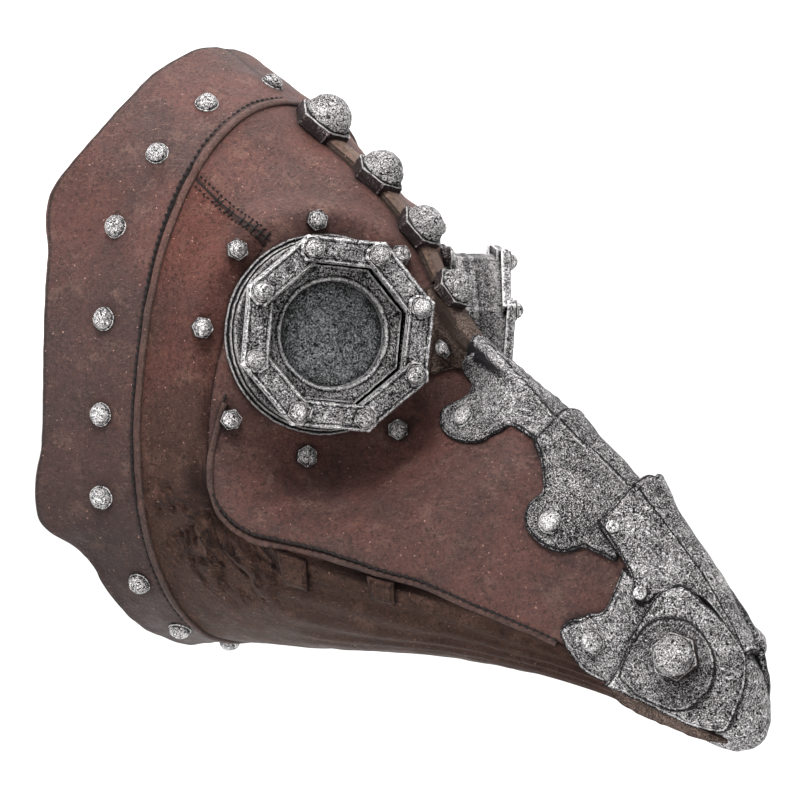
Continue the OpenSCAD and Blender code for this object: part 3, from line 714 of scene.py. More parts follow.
def leather_relief(v, a, p):
    """Dents, folds and creases of the face leather."""
    h = 0.55 * lumps(p, 26, 3) + 0.3 * lumps(p, 9, 4) + 0.10 * lumps(p, 3.2, 5)
    d = seam_distance(v, a)
    h += 0.45 * smooth(0, 1.2, d) - 0.45 * bell(d, 1.4)
    # folds that fan out below and behind the upper panel's rear corner
    x = (v - CORNER_V) * 20
    y = (a - CORNER_A) * 1.25
    reach = np.hypot(x, y)
    turn = np.degrees(np.arctan2(y, x))
    jaw = smooth(0, 3, -d)
    near = smooth(2, 8, reach) * (1 - smooth(24, 44, reach)) * jaw
    sway = 1.8 * lumps(p, 10, 6)
    broad = np.sin(np.radians(turn) * 7 + sway)
    fine = 1 - np.abs(np.sin(np.radians(turn) * 11 + 2.2 * sway))
    h += (1.25 * broad - 2.6 * fine**3) * near * smooth(-20, 30, turn)
    # the hollow behind the corner and the shiny roll below it
    h -= 3.6 * bell(d + 5, 2.6) * smooth(-20, -10, y) * (1 - smooth(1, 7, y)) * jaw
    h += 3.0 * bell(reach - 12, 3.4) * smooth(60, 85, turn) * (1 - smooth(150, 178, turn)) * jaw
    # the roll that runs up beside the piping
    h += 1.2 * bell(d + 4.2, 2.6) * smooth(-34, -22, y) * (1 - smooth(-12, -2, y)) * jaw
    # long creases along the jaw
    crease = np.sin((a - 118) * 0.62 + 2.4 * lumps(p * [1, 0.25, 1], 16, 7))
    along = smooth(2.2, 3.4, v) * (1 - smooth(8.5, 10, v)) * smooth(114, 122, a)
    h += 0.5 * crease * along * (1 - smooth(150, 168, a))
    # pinched lines below the eyes and beside the bridge
    pinch = np.sin(a * 0.8 + 3 * lumps(p, 20, 8))
    h += 0.25 * pinch * smooth(4.4, 5.4, v) * (1 - smooth(60, 100, a)) * smooth(20, 40, a)
    dead = smooth(3, 9, np.abs(p[..., 0]))
    return h * dead


EYE_HOLE_R = 30.0


def closed_sheet(v, a, used):
    """A panel over the used cells of the grid, with relief and a round eye hole."""
    base = face(v, a)
    n = outward(v, a)
    top = base + leather_relief(v, a, base)[..., None] * n
    bottom = base - HIDE_T * n
    bottom[..., 0] = np.minimum(bottom[..., 0], 0)
    _, r, _ = eye_offset(base)
    hole = (r[1:, 1:] + r[:-1, 1:] + r[1:, :-1] + r[:-1, :-1]) / 4 <= EYE_HOLE_R
    index = np.arange(v.size).reshape(v.shape)
    cells = np.stack([index[:-1, :-1], index[1:, :-1], index[1:, 1:], index[:-1, 1:]], -1)
    # the corners of the cells left out for the eye move onto its circle
    near = np.pad(hole, 1)
    rim = (near[1:, 1:] | near[:-1, 1:] | near[1:, :-1] | near[:-1, :-1]).reshape(-1, 1)
    sheets = []
    for points in (top.reshape(-1, 3), bottom.reshape(-1, 3)):
        depth, reach, axis = eye_offset(points)
        middle = np.array([-EYE_SIDE, -EYE_FWD, 0]) + depth[:, None] * axis
        moved = middle + (points - middle) * (EYE_HOLE_R / np.maximum(reach, 1))[:, None]
        sheets.append(np.where(rim, moved, points))
    return close(*sheets, cells[used & ~hole].tolist())


def on_leather(v, a, h=0.0):
    """Point at a height over the dented leather."""
    v, a = np.broadcast_arrays(np.asarray(v, float), np.asarray(a, float))
    return skin(v, a, h + leather_relief(v, a, face(v, a)))


def make_panels():
    i = np.arange(GRID_V.shape[0] - 1)[:, None]
    j = np.arange(GRID_V.shape[1] - 1)[None]
    brow = j < np.where(i < DART_COLUMN, DART_ROW, UPPER_ROWS)
    for name, used, material in (("brow_panel", brow, BROWN), ("jaw_panel", ~brow, JAW)):
        both_sides(f"leather_{name}", closed_sheet(GRID_V, GRID_A, used), material, name)


# ---- collar ----
RIVETS = [(0, 0.3), (24, 0.32), (44, 0.35), (63, 0.4), (82, 0.38), (96, 0.35), (112, 0.34),
          (136, 0.34), (158, 0.3), (180, 0.35)]


def collar_relief(p, s):
    """Dents of the collar, a groove along the seam and a dip round each rivet."""
    relief = 0.5 * lumps(p, 24, 11) + 0.28 * lumps(p, 8, 12) + 0.12 * lumps(p, 3, 13)
    relief += 0.35 * bell(s - 0.93, 0.06) - 0.6 * bell(s, 0.03)
    for angle, share in RIVETS:
        distance = np.linalg.norm(p - collar(angle, share), axis=-1)
        relief += -0.55 * bell(distance, 6.0) + 0.2 * bell(distance - 7.2, 1.8)
    return relief * smooth(1, 7, np.abs(p[..., 0]))


def collar_half():
    """Rings over the band's outside, round its free edge and back along its inside."""
    angles = np.linspace(0, 180, 241)
    across = np.linspace(0.0, 1, 30)
    inner = across[-2::-3]
    bend = np.radians(np.linspace(10, 170, 7))
    half = COLLAR_T / 2
    s = np.concatenate([across[:-1], 1 - half / COLLAR_REACH * (1 - np.sin(bend)), inner])
    h = np.concatenate([0 * across[:-1], half * (np.cos(bend) - 1), 0 * inner - COLLAR_T])
    a, s = np.meshgrid(angles, s, indexing="ij")
    h = np.broadcast_to(h, a.shape)
    p = collar(a, s, h)
    relief = collar_relief(p, s) * np.where(h > -COLLAR_T * 0.6, 1, 0.3)
    return tube((p + relief[..., None] * seam_out(a))[:, ::-1])


def make_collar():
    both_sides("leather_collar", collar_half(), COLLAR, "collar_band")


def rivet_dome(frame_, r, seed):
    """Hammered round head with a thin skirt."""
    profile = [(r * 0.98, -0.6, 0), (r * 1.04, 0.0, 0), (r * 1.02, 0.35, 0)]
    profile += [(r * 0.93, 0.5, 0)] + arc(r * 0.93, 0.5, 12, 89, 8)
    return lathe([(q[0], q[1] * 0.86, q[2]) for q in profile], frame_, 36, 0.0, 0.22, seed, 1.5)


def make_collar_rivets():
    parts = []
    for k, (angle, share) in enumerate(RIVETS):
        p = collar(angle, share, 0.0)
        across = collar(min(angle + 3, 180), share, 0.0) - collar(max(angle - 3, 0), share, 0.0)
        n = unit(np.cross(across, collar(angle, 0.0, 0.0) - collar(angle, 1.0, 0.0)))
        x = unit(np.cross([0.1, 1, 0.2], n))
        one = rivet_dome(place(p, x, np.cross(n, x), n), 4.3, 20 + k)
        parts.append(one if angle in (0, 180) else both(one))
    mesh_piece("rivets_collar", join(*parts), BRIGHT, ["collar_rivets"])


# ---- piping and stitches ----
PIPING_SECTION = np.array([[1.0, -0.6], [0.98, 0.25], [0.8, 0.62], [0.42, 0.85], [0, 0.92],
                           [-0.42, 0.85], [-0.8, 0.62], [-0.98, 0.25], [-1.0, -0.6]])
COLLAR_CORD, BEAK_CORD = (1.5, 1.2), (1.25, 1.35)
COLLAR_SEAM = 0.015
# Where the cross stitches lie among the 60 points of the dart's slit
CROSS_STITCHES = (21, 24, 30, 33, 40, 44, 48, 52, 56)


def path_frames(points, normals, loop=False):
    step = np.roll(points, -1, 0) - np.roll(points, 1, 0) if loop else np.gradient(points, axis=0)
    ahead = unit(step)
    return ahead, unit(np.cross(normals, ahead))


def piping(points, normals, size, loop=False):
    _, side = path_frames(points, normals, loop)
    wobble = 1 + 0.10 * lumps(points, 9, 31)
    w, h = (PIPING_SECTION * size).T[:, None] * wobble[:, None]
    rings = points[:, None] + w[..., None] * side[:, None] + h[..., None] * normals[:, None]
    return tube(rings, loop)


def stitches(points, normals, gap, length, thick, sink):
    """Short thread loops along a line, spaced evenly."""
    ahead, side = path_frames(points, normals)
    run = np.concatenate([[0], np.cumsum(np.linalg.norm(np.diff(points, axis=0), axis=1))])
    around = np.linspace(0, 2 * math.pi, 7)[:-1]
    parts = []
    for d in np.arange(gap / 2, run[-1], gap):
        middle, t, s, n = (np.array([np.interp(d, run, column) for column in rows.T])
                           for rows in (points, ahead, side, normals))
        t, s, n = unit(t), unit(s), unit(n)
        rings = []
        for u in np.linspace(-1, 1, 7):
            r = thick * math.sqrt(max(1 - u * u, 0.0)) + 0.02
            rings.append(middle + u * length / 2 * t + (sink - 0.25 * u * u) * n
                         + r * (np.cos(around)[:, None] * s + np.sin(around)[:, None] * n))
        parts.append(tube(rings))
    return join(*parts)


def thread_line(points, normals, r, lift=0.12):
    _, side = path_frames(points, normals)
    around = np.linspace(0, 2 * math.pi, 6)[:-1]
    w, h = r * np.cos(around)[:, None], r * np.sin(around)[:, None] + lift
    return tube(points[:, None] + w * side[:, None] + h * normals[:, None])


def welt_path():
    v = np.concatenate([np.linspace(1.75, 2.6, 24)[1:], np.arange(2.66, 8.35, 0.06)])
    rows = np.stack([v, welt_angle(v) + 1.0], -1)
    rear = np.array([[2.02, 84], [1.93, 90], [1.82, 95], [1.76, 100]], float)
    rows = np.vstack([spline(rear, np.linspace(0, 3, 12)), rows])
    for _ in range(6):
        rows[1:-1] = (rows[:-2] + 2 * rows[1:-1] + rows[2:]) / 4
    return rows[:, 0], rows[:, 1]


def make_piping():
    a = np.linspace(0, 180, 121)
    ring, up = (np.vstack([rows, rows[-2:0:-1] * [-1, 1, 1]])
                for rows in (on_leather(0.10, a, 0.2), outward(np.full_like(a, 0.10), a)))
    mesh_piece("piping_collar", piping(ring, up, COLLAR_CORD, True), PIPING, ["collar_piping"])
    v, b = welt_path()
    up = outward(v, b)
    both_sides("piping_beak", piping(on_leather(v, b, 0.2), up, BEAK_CORD), PIPING, "beak_piping")
    half = np.arange(3, 178, 1.5)
    line, lift = collar(half, COLLAR_SEAM), seam_out(half)
    line = line + collar_relief(line, COLLAR_SEAM)[:, None] * lift
    parts = [stitches(line, lift, 2.8, 1.7, 0.8, 0.5), thread_line(line, lift, 0.9, -0.4)]
    line = on_leather(v, b - 2.2, -0.1)
    parts += [stitches(line, up, 2.8, 1.6, 0.6, 0.35), thread_line(line, up, 0.35)]
    # the dart seam: a slit with cross stitches and a dotted rail on each side
    v = np.linspace(0.1, 1.75, 60)
    b = np.interp(v, [0.05, 1.88], [48, 45.5])
    for shift in (-1.5, 1.5):
        rail, lift = on_leather(v, b + shift), outward(v, b + shift)
        parts.append(stitches(rail, lift, 2.2, 1.2, 0.36, 0.3))
    slit, lift = on_leather(v, b), outward(v, b)
    parts.append(thread_line(slit, lift, 0.4, 0.0))
    _, side = path_frames(slit, lift)
    for k in CROSS_STITCHES:
        ends = slit[k] + np.array([[-1.9], [0], [1.9]]) * side[k]
        parts.append(thread_line(ends, np.repeat(lift[k:k + 1], 3, 0), 0.34, 0.3))
    mesh_piece("seam_stitches", both(join(*parts)), THREAD)


# ---- strip, tabs and bridge ----
NUT_WIDTHS = [23.6, 21, 19.5, 17]
NUT_STATIONS = [0.74, 2.07, 3.05, 4.08]
NUT_SEATS = [0.2, 0.2, 0.2, 1.4]
NUT_TILTS = [0, 0, 0, 5]
NUT_TURN = 0.35


def make_strip():
    parts = []
    for start, end, half in ((0.35, 2.0, 4.2), (1.9, 3.1, 5.4), (2.9, 3.85, 6.4)):
        corners = [(start, half - 0.6, 1), (end, half, 1), (end, -half, 1), (start, 0.6 - half, 1)]
        parts.append(plate(skin_line(corners), skin_point, lambda x, y: 3.2, 0.1, soft_edge))
    mesh_piece("leather_forehead_strip", join(*parts), STRIP, ["forehead_strip"])


def make_tabs():
    parts = []
    for v, a in ((3.3, 117.5), (5.05, 113.2)):
        corners = [(v - 0.27, a - 5, 1), (v + 0.27, a - 5, 1), (v + 0.23, a + 6.5, 1),
                   (v - 0.20, a + 6.5, 1)]
        parts.append(plate(skin_line(corners), skin_point, dented(2.3, 0.5, 6, 41), 0.1,
                           soft_edge))
    mesh_piece("leather_keeper_tabs", both(join(*parts)), JAW, ["keeper_tabs"])


BRIDGE = [(3.88, 0), (3.9, 12, 1), (4.3, 15), (4.7, 20), (5.0, 27), (5.2, 32, 1), (5.42, 25),
          (5.62, 17, 1), (5.62, 0, 1)]


def make_bridge():
    shape = plate(saddle_line(BRIDGE), skin_point, dented(1.5, 0.35, 4, 43), 0.2)
    mesh_piece("plate_bridge", shape, BRONZE, ["bridge_plate"])


def hex_skirt(frame_, r, h, seed, turn=0.0):
    """The sides of a nut, in a darker copy of the fastener metal that paints shade on them, with
    corners worn bright.
    """
    profile = [(r * 0.97, 0.0, 6), (r, 0.04 * r, 6), (r, h * 0.5, 6), (r, h - 0.06 * r, 6),
               (r * 0.985, h - 0.02 * r, 6), (r * 0.94, h, 6)]
    return lathe(profile, frame_, 72, turn, 0.10, seed, 1.7)


def nut_top(frame_, r, h, dome_r, seed, turn=0.0, rough=0.22, dome_low=0.0):
    """The bright rim of a nut's hexagon and its hammered dome."""
    profile = [(r * 0.9, h - 0.4, 6), (r * 0.985, h - 0.03 * r, 6), (r * 0.975, h + 0.02 * r, 6),
               (r * 0.93, h + 0.01 * r, 6), (dome_r * 1.03, h, 0),
               (dome_r * 1.0, h - 0.05 * r, 0)]
    profile += arc(dome_r, h - dome_low, 8, 89.5, 14)
    return lathe(profile, frame_, 72, turn, rough, seed, 1.7)


def tilted(frame_, degrees):
    turn = math.radians(degrees)
    mix = np.array([[math.cos(turn), 0, -math.sin(turn)], [0, 1, 0],
                    [math.sin(turn), 0, math.cos(turn)]])
    return lambda p: frame_(np.asarray(p) @ mix)


def make_big_nuts():
    sides, tops = [], []
    for k, width in enumerate(NUT_WIDTHS):
        spot = tilted(on_face(NUT_STATIONS[k], 0, NUT_SEATS[k]), NUT_TILTS[k])
        r, h = width / 2, 0.235 * width
        sides.append(hex_skirt(spot, r, h, 45 + k, NUT_TURN))
        tops.append(nut_top(spot, r, h, 0.80 * r, 50 + k, NUT_TURN))
    mesh_piece("nut_sides_forehead", join(*sides), NUT_SHADED_SIDE, crease=30)
    mesh_piece("nuts_forehead", join(*tops), NUT, ["forehead_cap_nuts"], crease=30)


# ---- beak plates ----
REAR_PLATE = [
    (5.0, 0), (5.02, 5), (5.12, 10), (5.3, 14), (5.52, 18), (5.72, 20.5), (5.93, 23), (6.03, 28),
    (6.0, 33), (5.9, 37), (5.86, 41), (5.95, 46), (6.12, 48.5), (6.3, 48), (6.45, 45),
    (6.57, 39), (6.66, 32.5, 1), (7.0, 32.5), (7.25, 31, 1), (7.25, 0, 1)]
MIDDLE_PLATE = [
    (7.11, 0), (7.1, 8), (7.11, 22), (7.06, 34, 1), (7.23, 37), (7.39, 42), (7.53, 48),
    (7.56, 51, 1), (7.46, 55), (7.39, 60), (7.43, 65), (7.58, 68.5), (7.84, 70.5), (8.22, 68.5),
    (8.58, 60.5, 1), (8.72, 60), (9.2, 57, 1), (9.3, 0, 1)]
FRONT_PLATE = [
    (9.0, 0), (8.94, 5), (8.9, 17), (8.82, 34), (8.65, 47, 1), (8.94, 50), (9.3, 54), (9.53, 58),
    (9.65, 64), (9.72, 68), (9.86, 69.5), (10, 64), (10.07, 58, 1), (10.4, 45), (10.8, 30),
    (11.75, 22, 1), (11.75, 0, 1)]
TIP_PLATE = [
    (10.07, 58), (10.18, 49), (10.33, 40), (10.54, 36), (10.76, 34), (11.18, 27), (11.49, 24),
    (11.7, 21.5, 1), (11.91, 26), (12.18, 47), (12.32, 87), (12.22, 106), (11.7, 115),
    (10.83, 119), (9.9, 121), (9.44, 123, 1), (9.6, 115), (9.8, 95), (10, 70)]
CHEEK_PLATE = [
    (9.36, 57, 1), (9.33, 70), (9.2, 84), (8.86, 91), (8.58, 95), (8.4, 103), (8.55, 111),
    (8.75, 118), (8.97, 123.5), (9.28, 124.5), (9.5, 122), (10.1, 118, 1), (10.2, 60, 1)]
LIP_STRIP = [
    (9.44, 122, 1), (10.2, 121), (11.2, 119), (12.4, 116, 1), (12.42, 124, 1), (11.9, 137),
    (11.4, 144), (10.7, 147), (10, 145), (9.6, 137)]


def on_saddle(height):
    """Heights by plate outline, from heights by station and angle."""
    return lambda x, y: height(x / STATION_MM, np.abs(y) / ANGLE_MM)


def step_down(a, where):
    """Raised middle of the saddle plates, with a thin bead along its edge."""
    d = (a - where) * ANGLE_MM * 1.6
    return 0.45 * (1 - smooth(-0.4, 0.4, d)) + 0.3 * bell(d + 0.7, 0.5)


def make_beak_plates():
    def rear_top(v, a):
        return 2.0 + step_down(a, 5 + 8.2 * (v - 5.9))

    def middle_top(v, a):
        return 2.0 + step_down(a, 17 - 1.5 * (v - 7)) + 2.0 * (1 - smooth(7.05, 7.7, v))

    def front_top(v, a):
        lift = 1.2 + 4.5 * (1 - smooth(8, 42, a))
        return 3.0 + step_down(a, 19) + lift * (1 - smooth(8.75, 9.9, v))

    def tip_top(v, a):
        return 5.2 - 2.6 * smooth(11.3, 12.3, v)

    for name, outline, top, low, material in (
            ("rear", REAR_PLATE, rear_top, 0.9, SILVER),
            ("middle", MIDDLE_PLATE, middle_top, 0.9, DIM_SILVER),
            ("front", FRONT_PLATE, front_top, 1.2, SILVER)):
        rough = dented(dented(on_saddle(top), 0.22, 3.2, 60), 0.3, 9, 61)
        shape = plate(saddle_line(outline), skin_point, rough, low, cell=0.85)
        mesh_piece(f"plate_beak_{name}", shape, material, [f"beak_plate_{name}"])

    for name, outline, top, low, material in (
            ("tip_plate", TIP_PLATE, dented(on_saddle(tip_top), 0.3, 4, 62), 1.0, LIT_TIP),
            ("cheek_plate", CHEEK_PLATE, dented(2.6, 0.3, 4, 63), 0.6, SILVER),
            ("lip_strip", LIP_STRIP, dented(2.1, 0.3, 3, 64), 0.3, LIP_BRONZE)):
        both_sides(f"{name}_look", plate(skin_line(outline), skin_point, top, low), material, name)


def make_tip():
    stations = np.concatenate([np.linspace(11.65, 12.6, 18), np.linspace(12.64, 12.98, 12)])
    angles = np.arange(-180, 180, 5.0)
    v, a = np.meshgrid(stations, angles, indexing="ij")
    end = np.clip((v - 12.5) / 0.49, 0, 1)
    p = skin(v, a, 0.8 + 0.8 * smooth(11.7, 12.3, v))
    middle = p.mean(1, keepdims=True)
    p = middle + (p - middle) * np.sqrt(1 - 0.96 * end**2)[..., None]
    p = p + (0.35 * lumps(p, 3.5, 66))[..., None] * outward(v, a)
    mesh_piece("hook_tip", tube(p[:, ::-1]), LIT_TIP, ["beak_tip"])


# ---- boss, bolt and small fasteners ----
BOSS_SPOT = 10.85, 76
BOSS_NUT_R = 8.75
BOSS_DISC = [
    (9.79, 109, 1), (9.83, 99), (9.93, 89), (10.13, 73), (10.4, 62), (10.83, 51), (11.3, 50.5),
    (11.57, 60), (11.68, 76), (11.6, 90), (11.42, 102), (11.1, 111), (10.7, 114.5),
    (10.25, 115.5, 1)]


def make_boss():
    def top(x, y):
        v, a = BOSS_SPOT
        reach = np.hypot(x - v * STATION_MM, y - a * ANGLE_MM)
        return 5.9 + 1.5 * (1 - smooth(7, 17, reach))

    disc = plate(skin_line(BOSS_DISC), skin_point, dented(top, 0.25, 4, 71), 2.5)
    both_sides("boss_disc_look", disc, DIM_SILVER, "boss_disc")
    seat = on_face(*BOSS_SPOT, 6.5)
    side = hex_skirt(seat, BOSS_NUT_R, 4.2, 73, 0.2)
    top = nut_top(seat, BOSS_NUT_R, 4.2, 0.81 * BOSS_NUT_R, 72, 0.2)
    mesh_piece("nut_sides_boss", both(side), NUT_SHADED_SIDE, crease=30)
    mesh_piece("nuts_boss", both(top), NUT, ["boss_cap_nuts"], crease=30)


def small_nut(frame_, r, h, seed, turn=0.0):
    """Sides and top of a small nut."""
    return (hex_skirt(frame_, r, h, seed, turn),
            nut_top(frame_, r, h, 0.78 * r, seed + 1, turn, 0.16, 0.7))


def eye_nuts(kind, where, nuts, node):
    sides, tops = (join(*shapes) for shapes in zip(*nuts))
    both_sides(f"{kind}_sides_{where}", sides, NUT_SHADED_SIDE)
    both_sides(f"{kind}s_{where}", tops, BRIGHT, node)


# Angle and distance of the nuts round each eye
FLANGE_NUTS = [(43, 43), (90, 42), (134, 43), (177, 43), (224, 45), (265, 45)]


def make_fasteners():
    rivets = [rivet_dome(on_face(v, a, 2.5), 4.0, 80 + k)
              for k, (v, a) in enumerate([(6.2, 39), (7.86, 60), (9.11, 99)])]
    mesh_piece("rivets_beak", both(join(*rivets)), BRIGHT, ["beak_plate_rivets"])
    head = [(2.3, -1.4, 0), (2.4, 0.2, 0), (2.2, 0.55, 0), (1.6, 0.8, 0), (0.05, 0.9, 0)]
    screws = [lathe(head, on_face(v, a, 4.2), 28) for v, a in ((8.95, 44), (9.8, 63))]
    mesh_piece("screws_beak", both(join(*screws)), BRIGHT, ["beak_plate_screws"])
    nuts = []
    for k, (degrees, r) in enumerate(FLANGE_NUTS):
        spot = shifted(at_eye, r, math.radians(degrees), 0.3)
        nuts.append(small_nut(spot, 4.1, 3.4, 90 + 2 * k, 0.3 * k))
    for k, (v, a) in enumerate([(5.28, 54), (5, 16)]):
        nuts.append(small_nut(on_face(v, a, 0.3), 4.0, 3.0, 130 + 2 * k))
    eye_nuts("nut", "flange", nuts, "flange_nuts")


# ---- eyepieces ----
BEZEL_TURN = math.radians(17)
BEZEL_STEP = math.radians(45)
LINK_MIDDLE_R = 33.2
LINK_TOP = 26.4
LINK_WIDTH = 9.9
LINK_T = 3.4
EYE_SHIFT = np.array([2.6, 0, 0])
EYE_SCALE = np.array([0.965, 0.965, 1])


def at_eyepiece(p):
    """The eyepiece's own axis stands a little nearer the nose than its ring of nuts."""
    return at_eye(np.asarray(p) * EYE_SCALE + EYE_SHIFT)


def eye_ring(profile, name, material, seed, rough=0.18):
    """A ring with a hole: the profile is a closed loop of (radius, height, sides)."""
    points, faces = tube(profile_rings(profile, 192, BEZEL_TURN), loop=True)
    points = points + unit(points * [1, 1, 0.3]) * (rough * lumps(points, 2.2, seed))[:, None]
    both_sides(f"{name}_look", (at_eyepiece(points), faces), material, name, crease=30)


def link_shape(k):
    """One bar of the bezel: it lies on the bar before it and carries the corner bolt."""
    corner = BEZEL_TURN + BEZEL_STEP * k
    start, end = (LINK_MIDDLE_R * np.array([math.cos(t), math.sin(t)])
                  for t in (corner, corner - BEZEL_STEP))
    length = np.linalg.norm(end - start)
    along = (end - start) / length
    side = np.array([-along[1], along[0]])
    half = LINK_WIDTH / 2
    corners = [(-4.7, -2.4, 1), (-2.8, -half, 1), (length + 2, -half, 1), (length + 2, half, 1),
               (-2.4, half, 1), (-4.7, 2.2, 1)]

    def to_point(x, y, h):
        flat = start + x[:, None] * along + y[:, None] * side
        return at_eyepiece(np.column_stack([flat, h + 1.5 * (1 - x / length)]))

    def top(x, y):
        spots = np.stack([x + 40 * k, y, 0 * x], -1)
        return LINK_TOP + 0.28 * lumps(spots, 3.0, 75) - 0.25 * bell(y, 2.2)

    return plate(curve_outline(corners, 0.9), to_point, top, LINK_TOP - LINK_T)


def make_eyepieces():
    flange = [(25, 0.4, 0), (37.6, 0.3, 0), (38.3, 0.7, 0), (38.4, 2.0, 0), (37.9, 2.5, 0),
              (37.0, 2.2, 0), (36.9, 4.4, 0), (36.4, 4.9, 0), (35.9, 4.6, 0), (35.8, 6.9, 0),
              (35.2, 7.5, 0), (33.5, 7.6, 0), (27, 7.9, 0), (25, 7.6, 0)]
    eye_ring(flange, "eye_flange", DARKER, 101)
    housing = [(30.0, 8.0, 8), (35.0, 8.0, 8), (35.0, 12.0, 8), (35.3, 12.5, 8), (35.3, 14, 8),
               (35.0, 14.5, 8), (35.0, 24.4, 8), (30.0, 24.4, 8), (29.6, 23.8, 8), (30.0, 19, 8)]
    eye_ring(housing, "eye_housing", DARKER, 102)
    ring = [(19.9, 13.4, 0), (29.6, 13.0, 8), (29.6, 16.0, 8), (28.0, 16.2, 8), (27.6, 16.8, 8),
            (27.5, 19.2, 8), (27.2, 19.7, 8), (26.8, 19.6, 8), (26.3, 19.0, 8), (25.0, 18.4, 8),
            (22.4, 17.8, 0), (21.7, 17.6, 0), (21.2, 17.8, 0), (20.6, 17.7, 0), (20.1, 17.0, 0),
            (19.9, 15.8, 0)]
    eye_ring(ring, "lens_ring", SILVER, 103, 0.14)
    both_sides("bezel_links_look", join(*(link_shape(k) for k in range(8))), SILVER, "bezel_links")
    bolts = []
    for k in range(8):
        t = BEZEL_TURN + BEZEL_STEP * k
        spot = shifted(at_eyepiece, LINK_MIDDLE_R, t, LINK_TOP + 1.3)
        bolts.append(small_nut(spot, 4.4, 1.0, 150 + 2 * k, t + 0.25 * k))
    eye_nuts("bolt", "bezel", bolts, "bezel_bolts")
    disc = [(21.8, 11.3, 0), (21.8, 13.3, 0)]
    disc += [(r, 13.3 + 0.5 * (1 - (r / 20.3) ** 2), 0) for r in np.linspace(20.3, 0.1, 16)]
    both_sides("lens_look", lathe(disc, at_eyepiece, 96), LENS, "lens")


# ---- strap ----
ANCHOR_X, ANCHOR_Y, TURN_R, RUN_Y = 67.2, -31.0, 9.0, -6.0
STRAP_W, STRAP_T, STRAP_Z = 25.0, 1.5, -6.0


def strap_line():
    """Middle of the strap's thickness from the right tab to the left one."""
    mid = np.array([-ANCHOR_X + TURN_R, RUN_Y - TURN_R])
    r = TURN_R + STRAP_T / 2
    turn = [mid + r * np.array([-math.cos(t), math.sin(t)])
            for t in np.radians(np.linspace(0, 90, 10))]
    tab = [np.array([-ANCHOR_X - STRAP_T / 2, y]) for y in np.linspace(ANCHOR_Y, mid[1], 10)[:-1]]
    half = np.array(tab + turn)
    run = np.linspace(half[-1], half[-1] * [-1, 1], 101)[1:-1]
    return np.vstack([half, run, half[::-1] * [-1, 1]])


def make_strap():
    line = strap_line()
    ahead = unit(np.gradient(line, axis=0))
    side = np.stack([-ahead[:, 1], ahead[:, 0]], -1)
    ribs = 22
    across = np.linspace(-1, 1, 4 * ribs + 1)
    wave = 0.12 * np.cos(across * ribs * math.pi)
    edge = np.sqrt(np.clip(1 - np.abs(across) ** 24, 0, 1))
    rings = []
    for k, (p, s) in enumerate(zip(line, side)):
        weave = 0.06 * (-1) ** k
        out = (STRAP_T / 2 - 0.1 + wave + weave) * edge
        back = -(STRAP_T / 2 - 0.1 + wave - weave) * edge
        up = STRAP_Z + across * STRAP_W / 2
        front = [[*(p + o * s), z] for o, z in zip(out, up)]
        rear = [[*(p + o * s), z] for o, z in zip(back[::-1], up[::-1])]
        rings.append(front + rear[1:-1])
    points, faces = tube(np.array(rings))
    mesh_piece("webbing_strap", (points, faces), WEBBING, ["head_strap"])


def rounded_box(size, centre, r):
    work = bmesh.new()
    bmesh.ops.create_cube(work, size=1.0)
    for vertex in work.verts:
        vertex.co = Vector([vertex.co[k] * size[k] + centre[k] for k in range(3)])
    bmesh.ops.bevel(work, geom=list(work.edges) + list(work.verts), offset=r, segments=3,
                    affect="EDGES", profile=0.5)
    work.verts.ensure_lookup_table()
    points = np.array([v.co[:] for v in work.verts])
    faces = [[v.index for v in f.verts] for f in work.faces]
    work.free()
    return points, faces


def make_slider():
    length, bar, bar_t, rail_low, rail_d = 17.0, 3.0, 2.0, RUN_Y - 2.4, 6.2
    height = STRAP_W + 1
    parts = []
    for s in (-1, 1):
        rail = (0, rail_low + rail_d / 2, STRAP_Z + s * (height + bar) / 2)
        post = (s * (length - bar) / 2, RUN_Y + STRAP_T + 0.3 + bar_t / 2, STRAP_Z)
        parts.append(rounded_box((length, rail_d, bar), rail, 0.8))
        parts.append(rounded_box((bar, bar_t, height + 1.5), post, 0.6))
    parts.append(rounded_box((bar, bar_t, height + 1.5),
                             (0, rail_low + 0.1 + bar_t / 2, STRAP_Z), 0.6))
    mesh_piece("slider_buckle", join(*parts), PLASTIC, ["strap_slider"], body="slider")


def make_anchors():
    """Small riveted plates that hold the strap's ends inside the collar's tabs."""
    middle = (-ANCHOR_X + 0.1 + 0.6, ANCHOR_Y + 5, STRAP_Z)
    parts = [rounded_box((1.2, 8, 21), middle, 0.4)]
    for z in (-5.5, 5.5):
        spot = place([-ANCHOR_X + 1.3, ANCHOR_Y + 5, STRAP_Z + z], [0, 1, 0], [0, 0, 1], [1, 0, 0])
        parts.append(lathe([(3.0, -0.2, 0), (3.0, 0.3, 0)] + arc(2.9, -1.9, 50, 89, 5), spot, 28))
    mesh_piece("strap_anchor_look", both(join(*parts)), STEEL, ["strap_anchor_plates"])


make_panels()
make_collar()
make_collar_rivets()
make_piping()
make_strip()
make_tabs()
make_bridge()
make_big_nuts()
make_beak_plates()
make_tip()
make_boss()
make_fasteners()
make_eyepieces()
make_strap()
make_slider()
make_anchors()
repaint(STEEL, "beak_cross_bolt")
repaint(RUBBER, "lens_retainer_right", "lens_retainer_left")


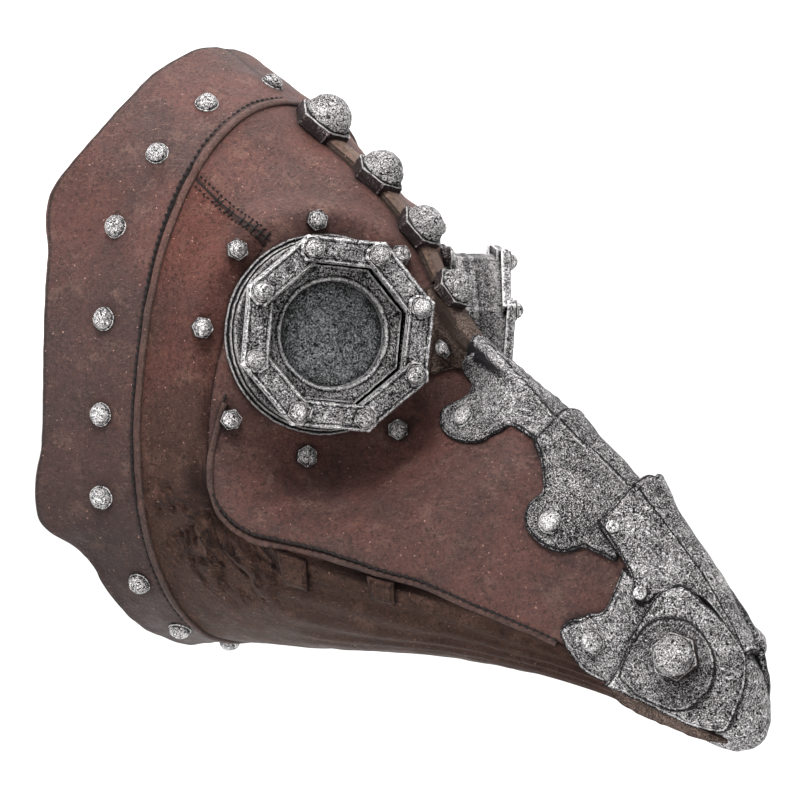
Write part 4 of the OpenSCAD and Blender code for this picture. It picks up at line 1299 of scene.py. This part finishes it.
# ---- stage, light and camera ----
AZIMUTH = math.radians(-55)
ELEVATION = math.radians(0.6)
BACK = Vector((math.sin(AZIMUTH) * math.cos(ELEVATION), -math.cos(AZIMUTH) * math.cos(ELEVATION),
               math.sin(ELEVATION)))
RIGHT = Vector((0, 0, 1)).cross(BACK).normalized()
UP = BACK.cross(RIGHT)
AIM = Vector((0, -0.120, -0.015)) - 0.0062 * RIGHT - 0.0094 * UP
CAMERA_DISTANCE = 1.2
CAMERA_LENS = 144.2
SKY_BRIGHT = (0.55 * UP - 0.65 * BACK - 0.55 * RIGHT).normalized()
FLOOR_REACH, FLOOR_Z = 30.0, -0.30


def make_stage():
    mesh = bpy.data.meshes.new("floor")
    r, z = FLOOR_REACH, FLOOR_Z
    mesh.from_pydata([(-r, -r, z), (r, -r, z), (r, r, z), (-r, r, z)], [], [[0, 1, 2, 3]])
    mesh.materials.append(Looks("white_paper").finish((0.85, 0.85, 0.85), 0.9, 0.0, 0.1))
    add_object("floor", mesh)
    # a white sky that is brightest on the side SKY_BRIGHT
    world = bpy.data.worlds.new("studio")
    bpy.context.scene.world = world
    world.use_nodes = True
    tree = world.node_tree
    place = add_node(tree, "TexCoord", {}).outputs["Generated"]
    towards = add_node(tree, "VectorMath", {0: place, 1: tuple(SKY_BRIGHT)},
                       operation="DOT_PRODUCT").outputs["Value"]
    strength = add_node(tree, "MapRange", {
        "Value": towards, "From Min": -0.6, "From Max": 0.55, "To Min": 0.45, "To Max": 1.6},
        interpolation_type="SMOOTHSTEP").outputs["Result"]
    sky = tree.nodes["Background"]
    link(tree, strength, sky.inputs["Strength"])
    link(tree, (1.0, 1.0, 1.0), sky.inputs["Color"])


def soft_light(name, right, up, back, size, power):
    """Area light placed in the camera's own directions from the aim point."""
    data = bpy.data.lights.new(name, "AREA")
    data.shape = "DISK"
    data.size = size
    data.energy = power
    lamp = add_object(name, data)
    lamp.location = AIM + right * RIGHT + up * UP + back * BACK
    lamp.rotation_euler = (lamp.location - AIM).to_track_quat("Z", "Y").to_euler()


def make_camera():
    data = bpy.data.cameras.new("camera")
    data.lens = CAMERA_LENS
    data.sensor_width = 36
    camera = add_object("camera", data)
    camera.location = AIM + CAMERA_DISTANCE * BACK
    camera.rotation_euler = Matrix([RIGHT, UP, BACK]).transposed().to_euler()
    bpy.context.scene.camera = camera


make_stage()
soft_light("key", -0.15, 0.95, 0.65, 0.45, 20.0)
soft_light("fill", -0.9, 0.1, 0.7, 0.7, 3.0)
soft_light("top", -0.1, 1.0, -0.2, 0.6, 8.0)
make_camera()
bpy.context.scene.view_settings.view_transform = "Standard"
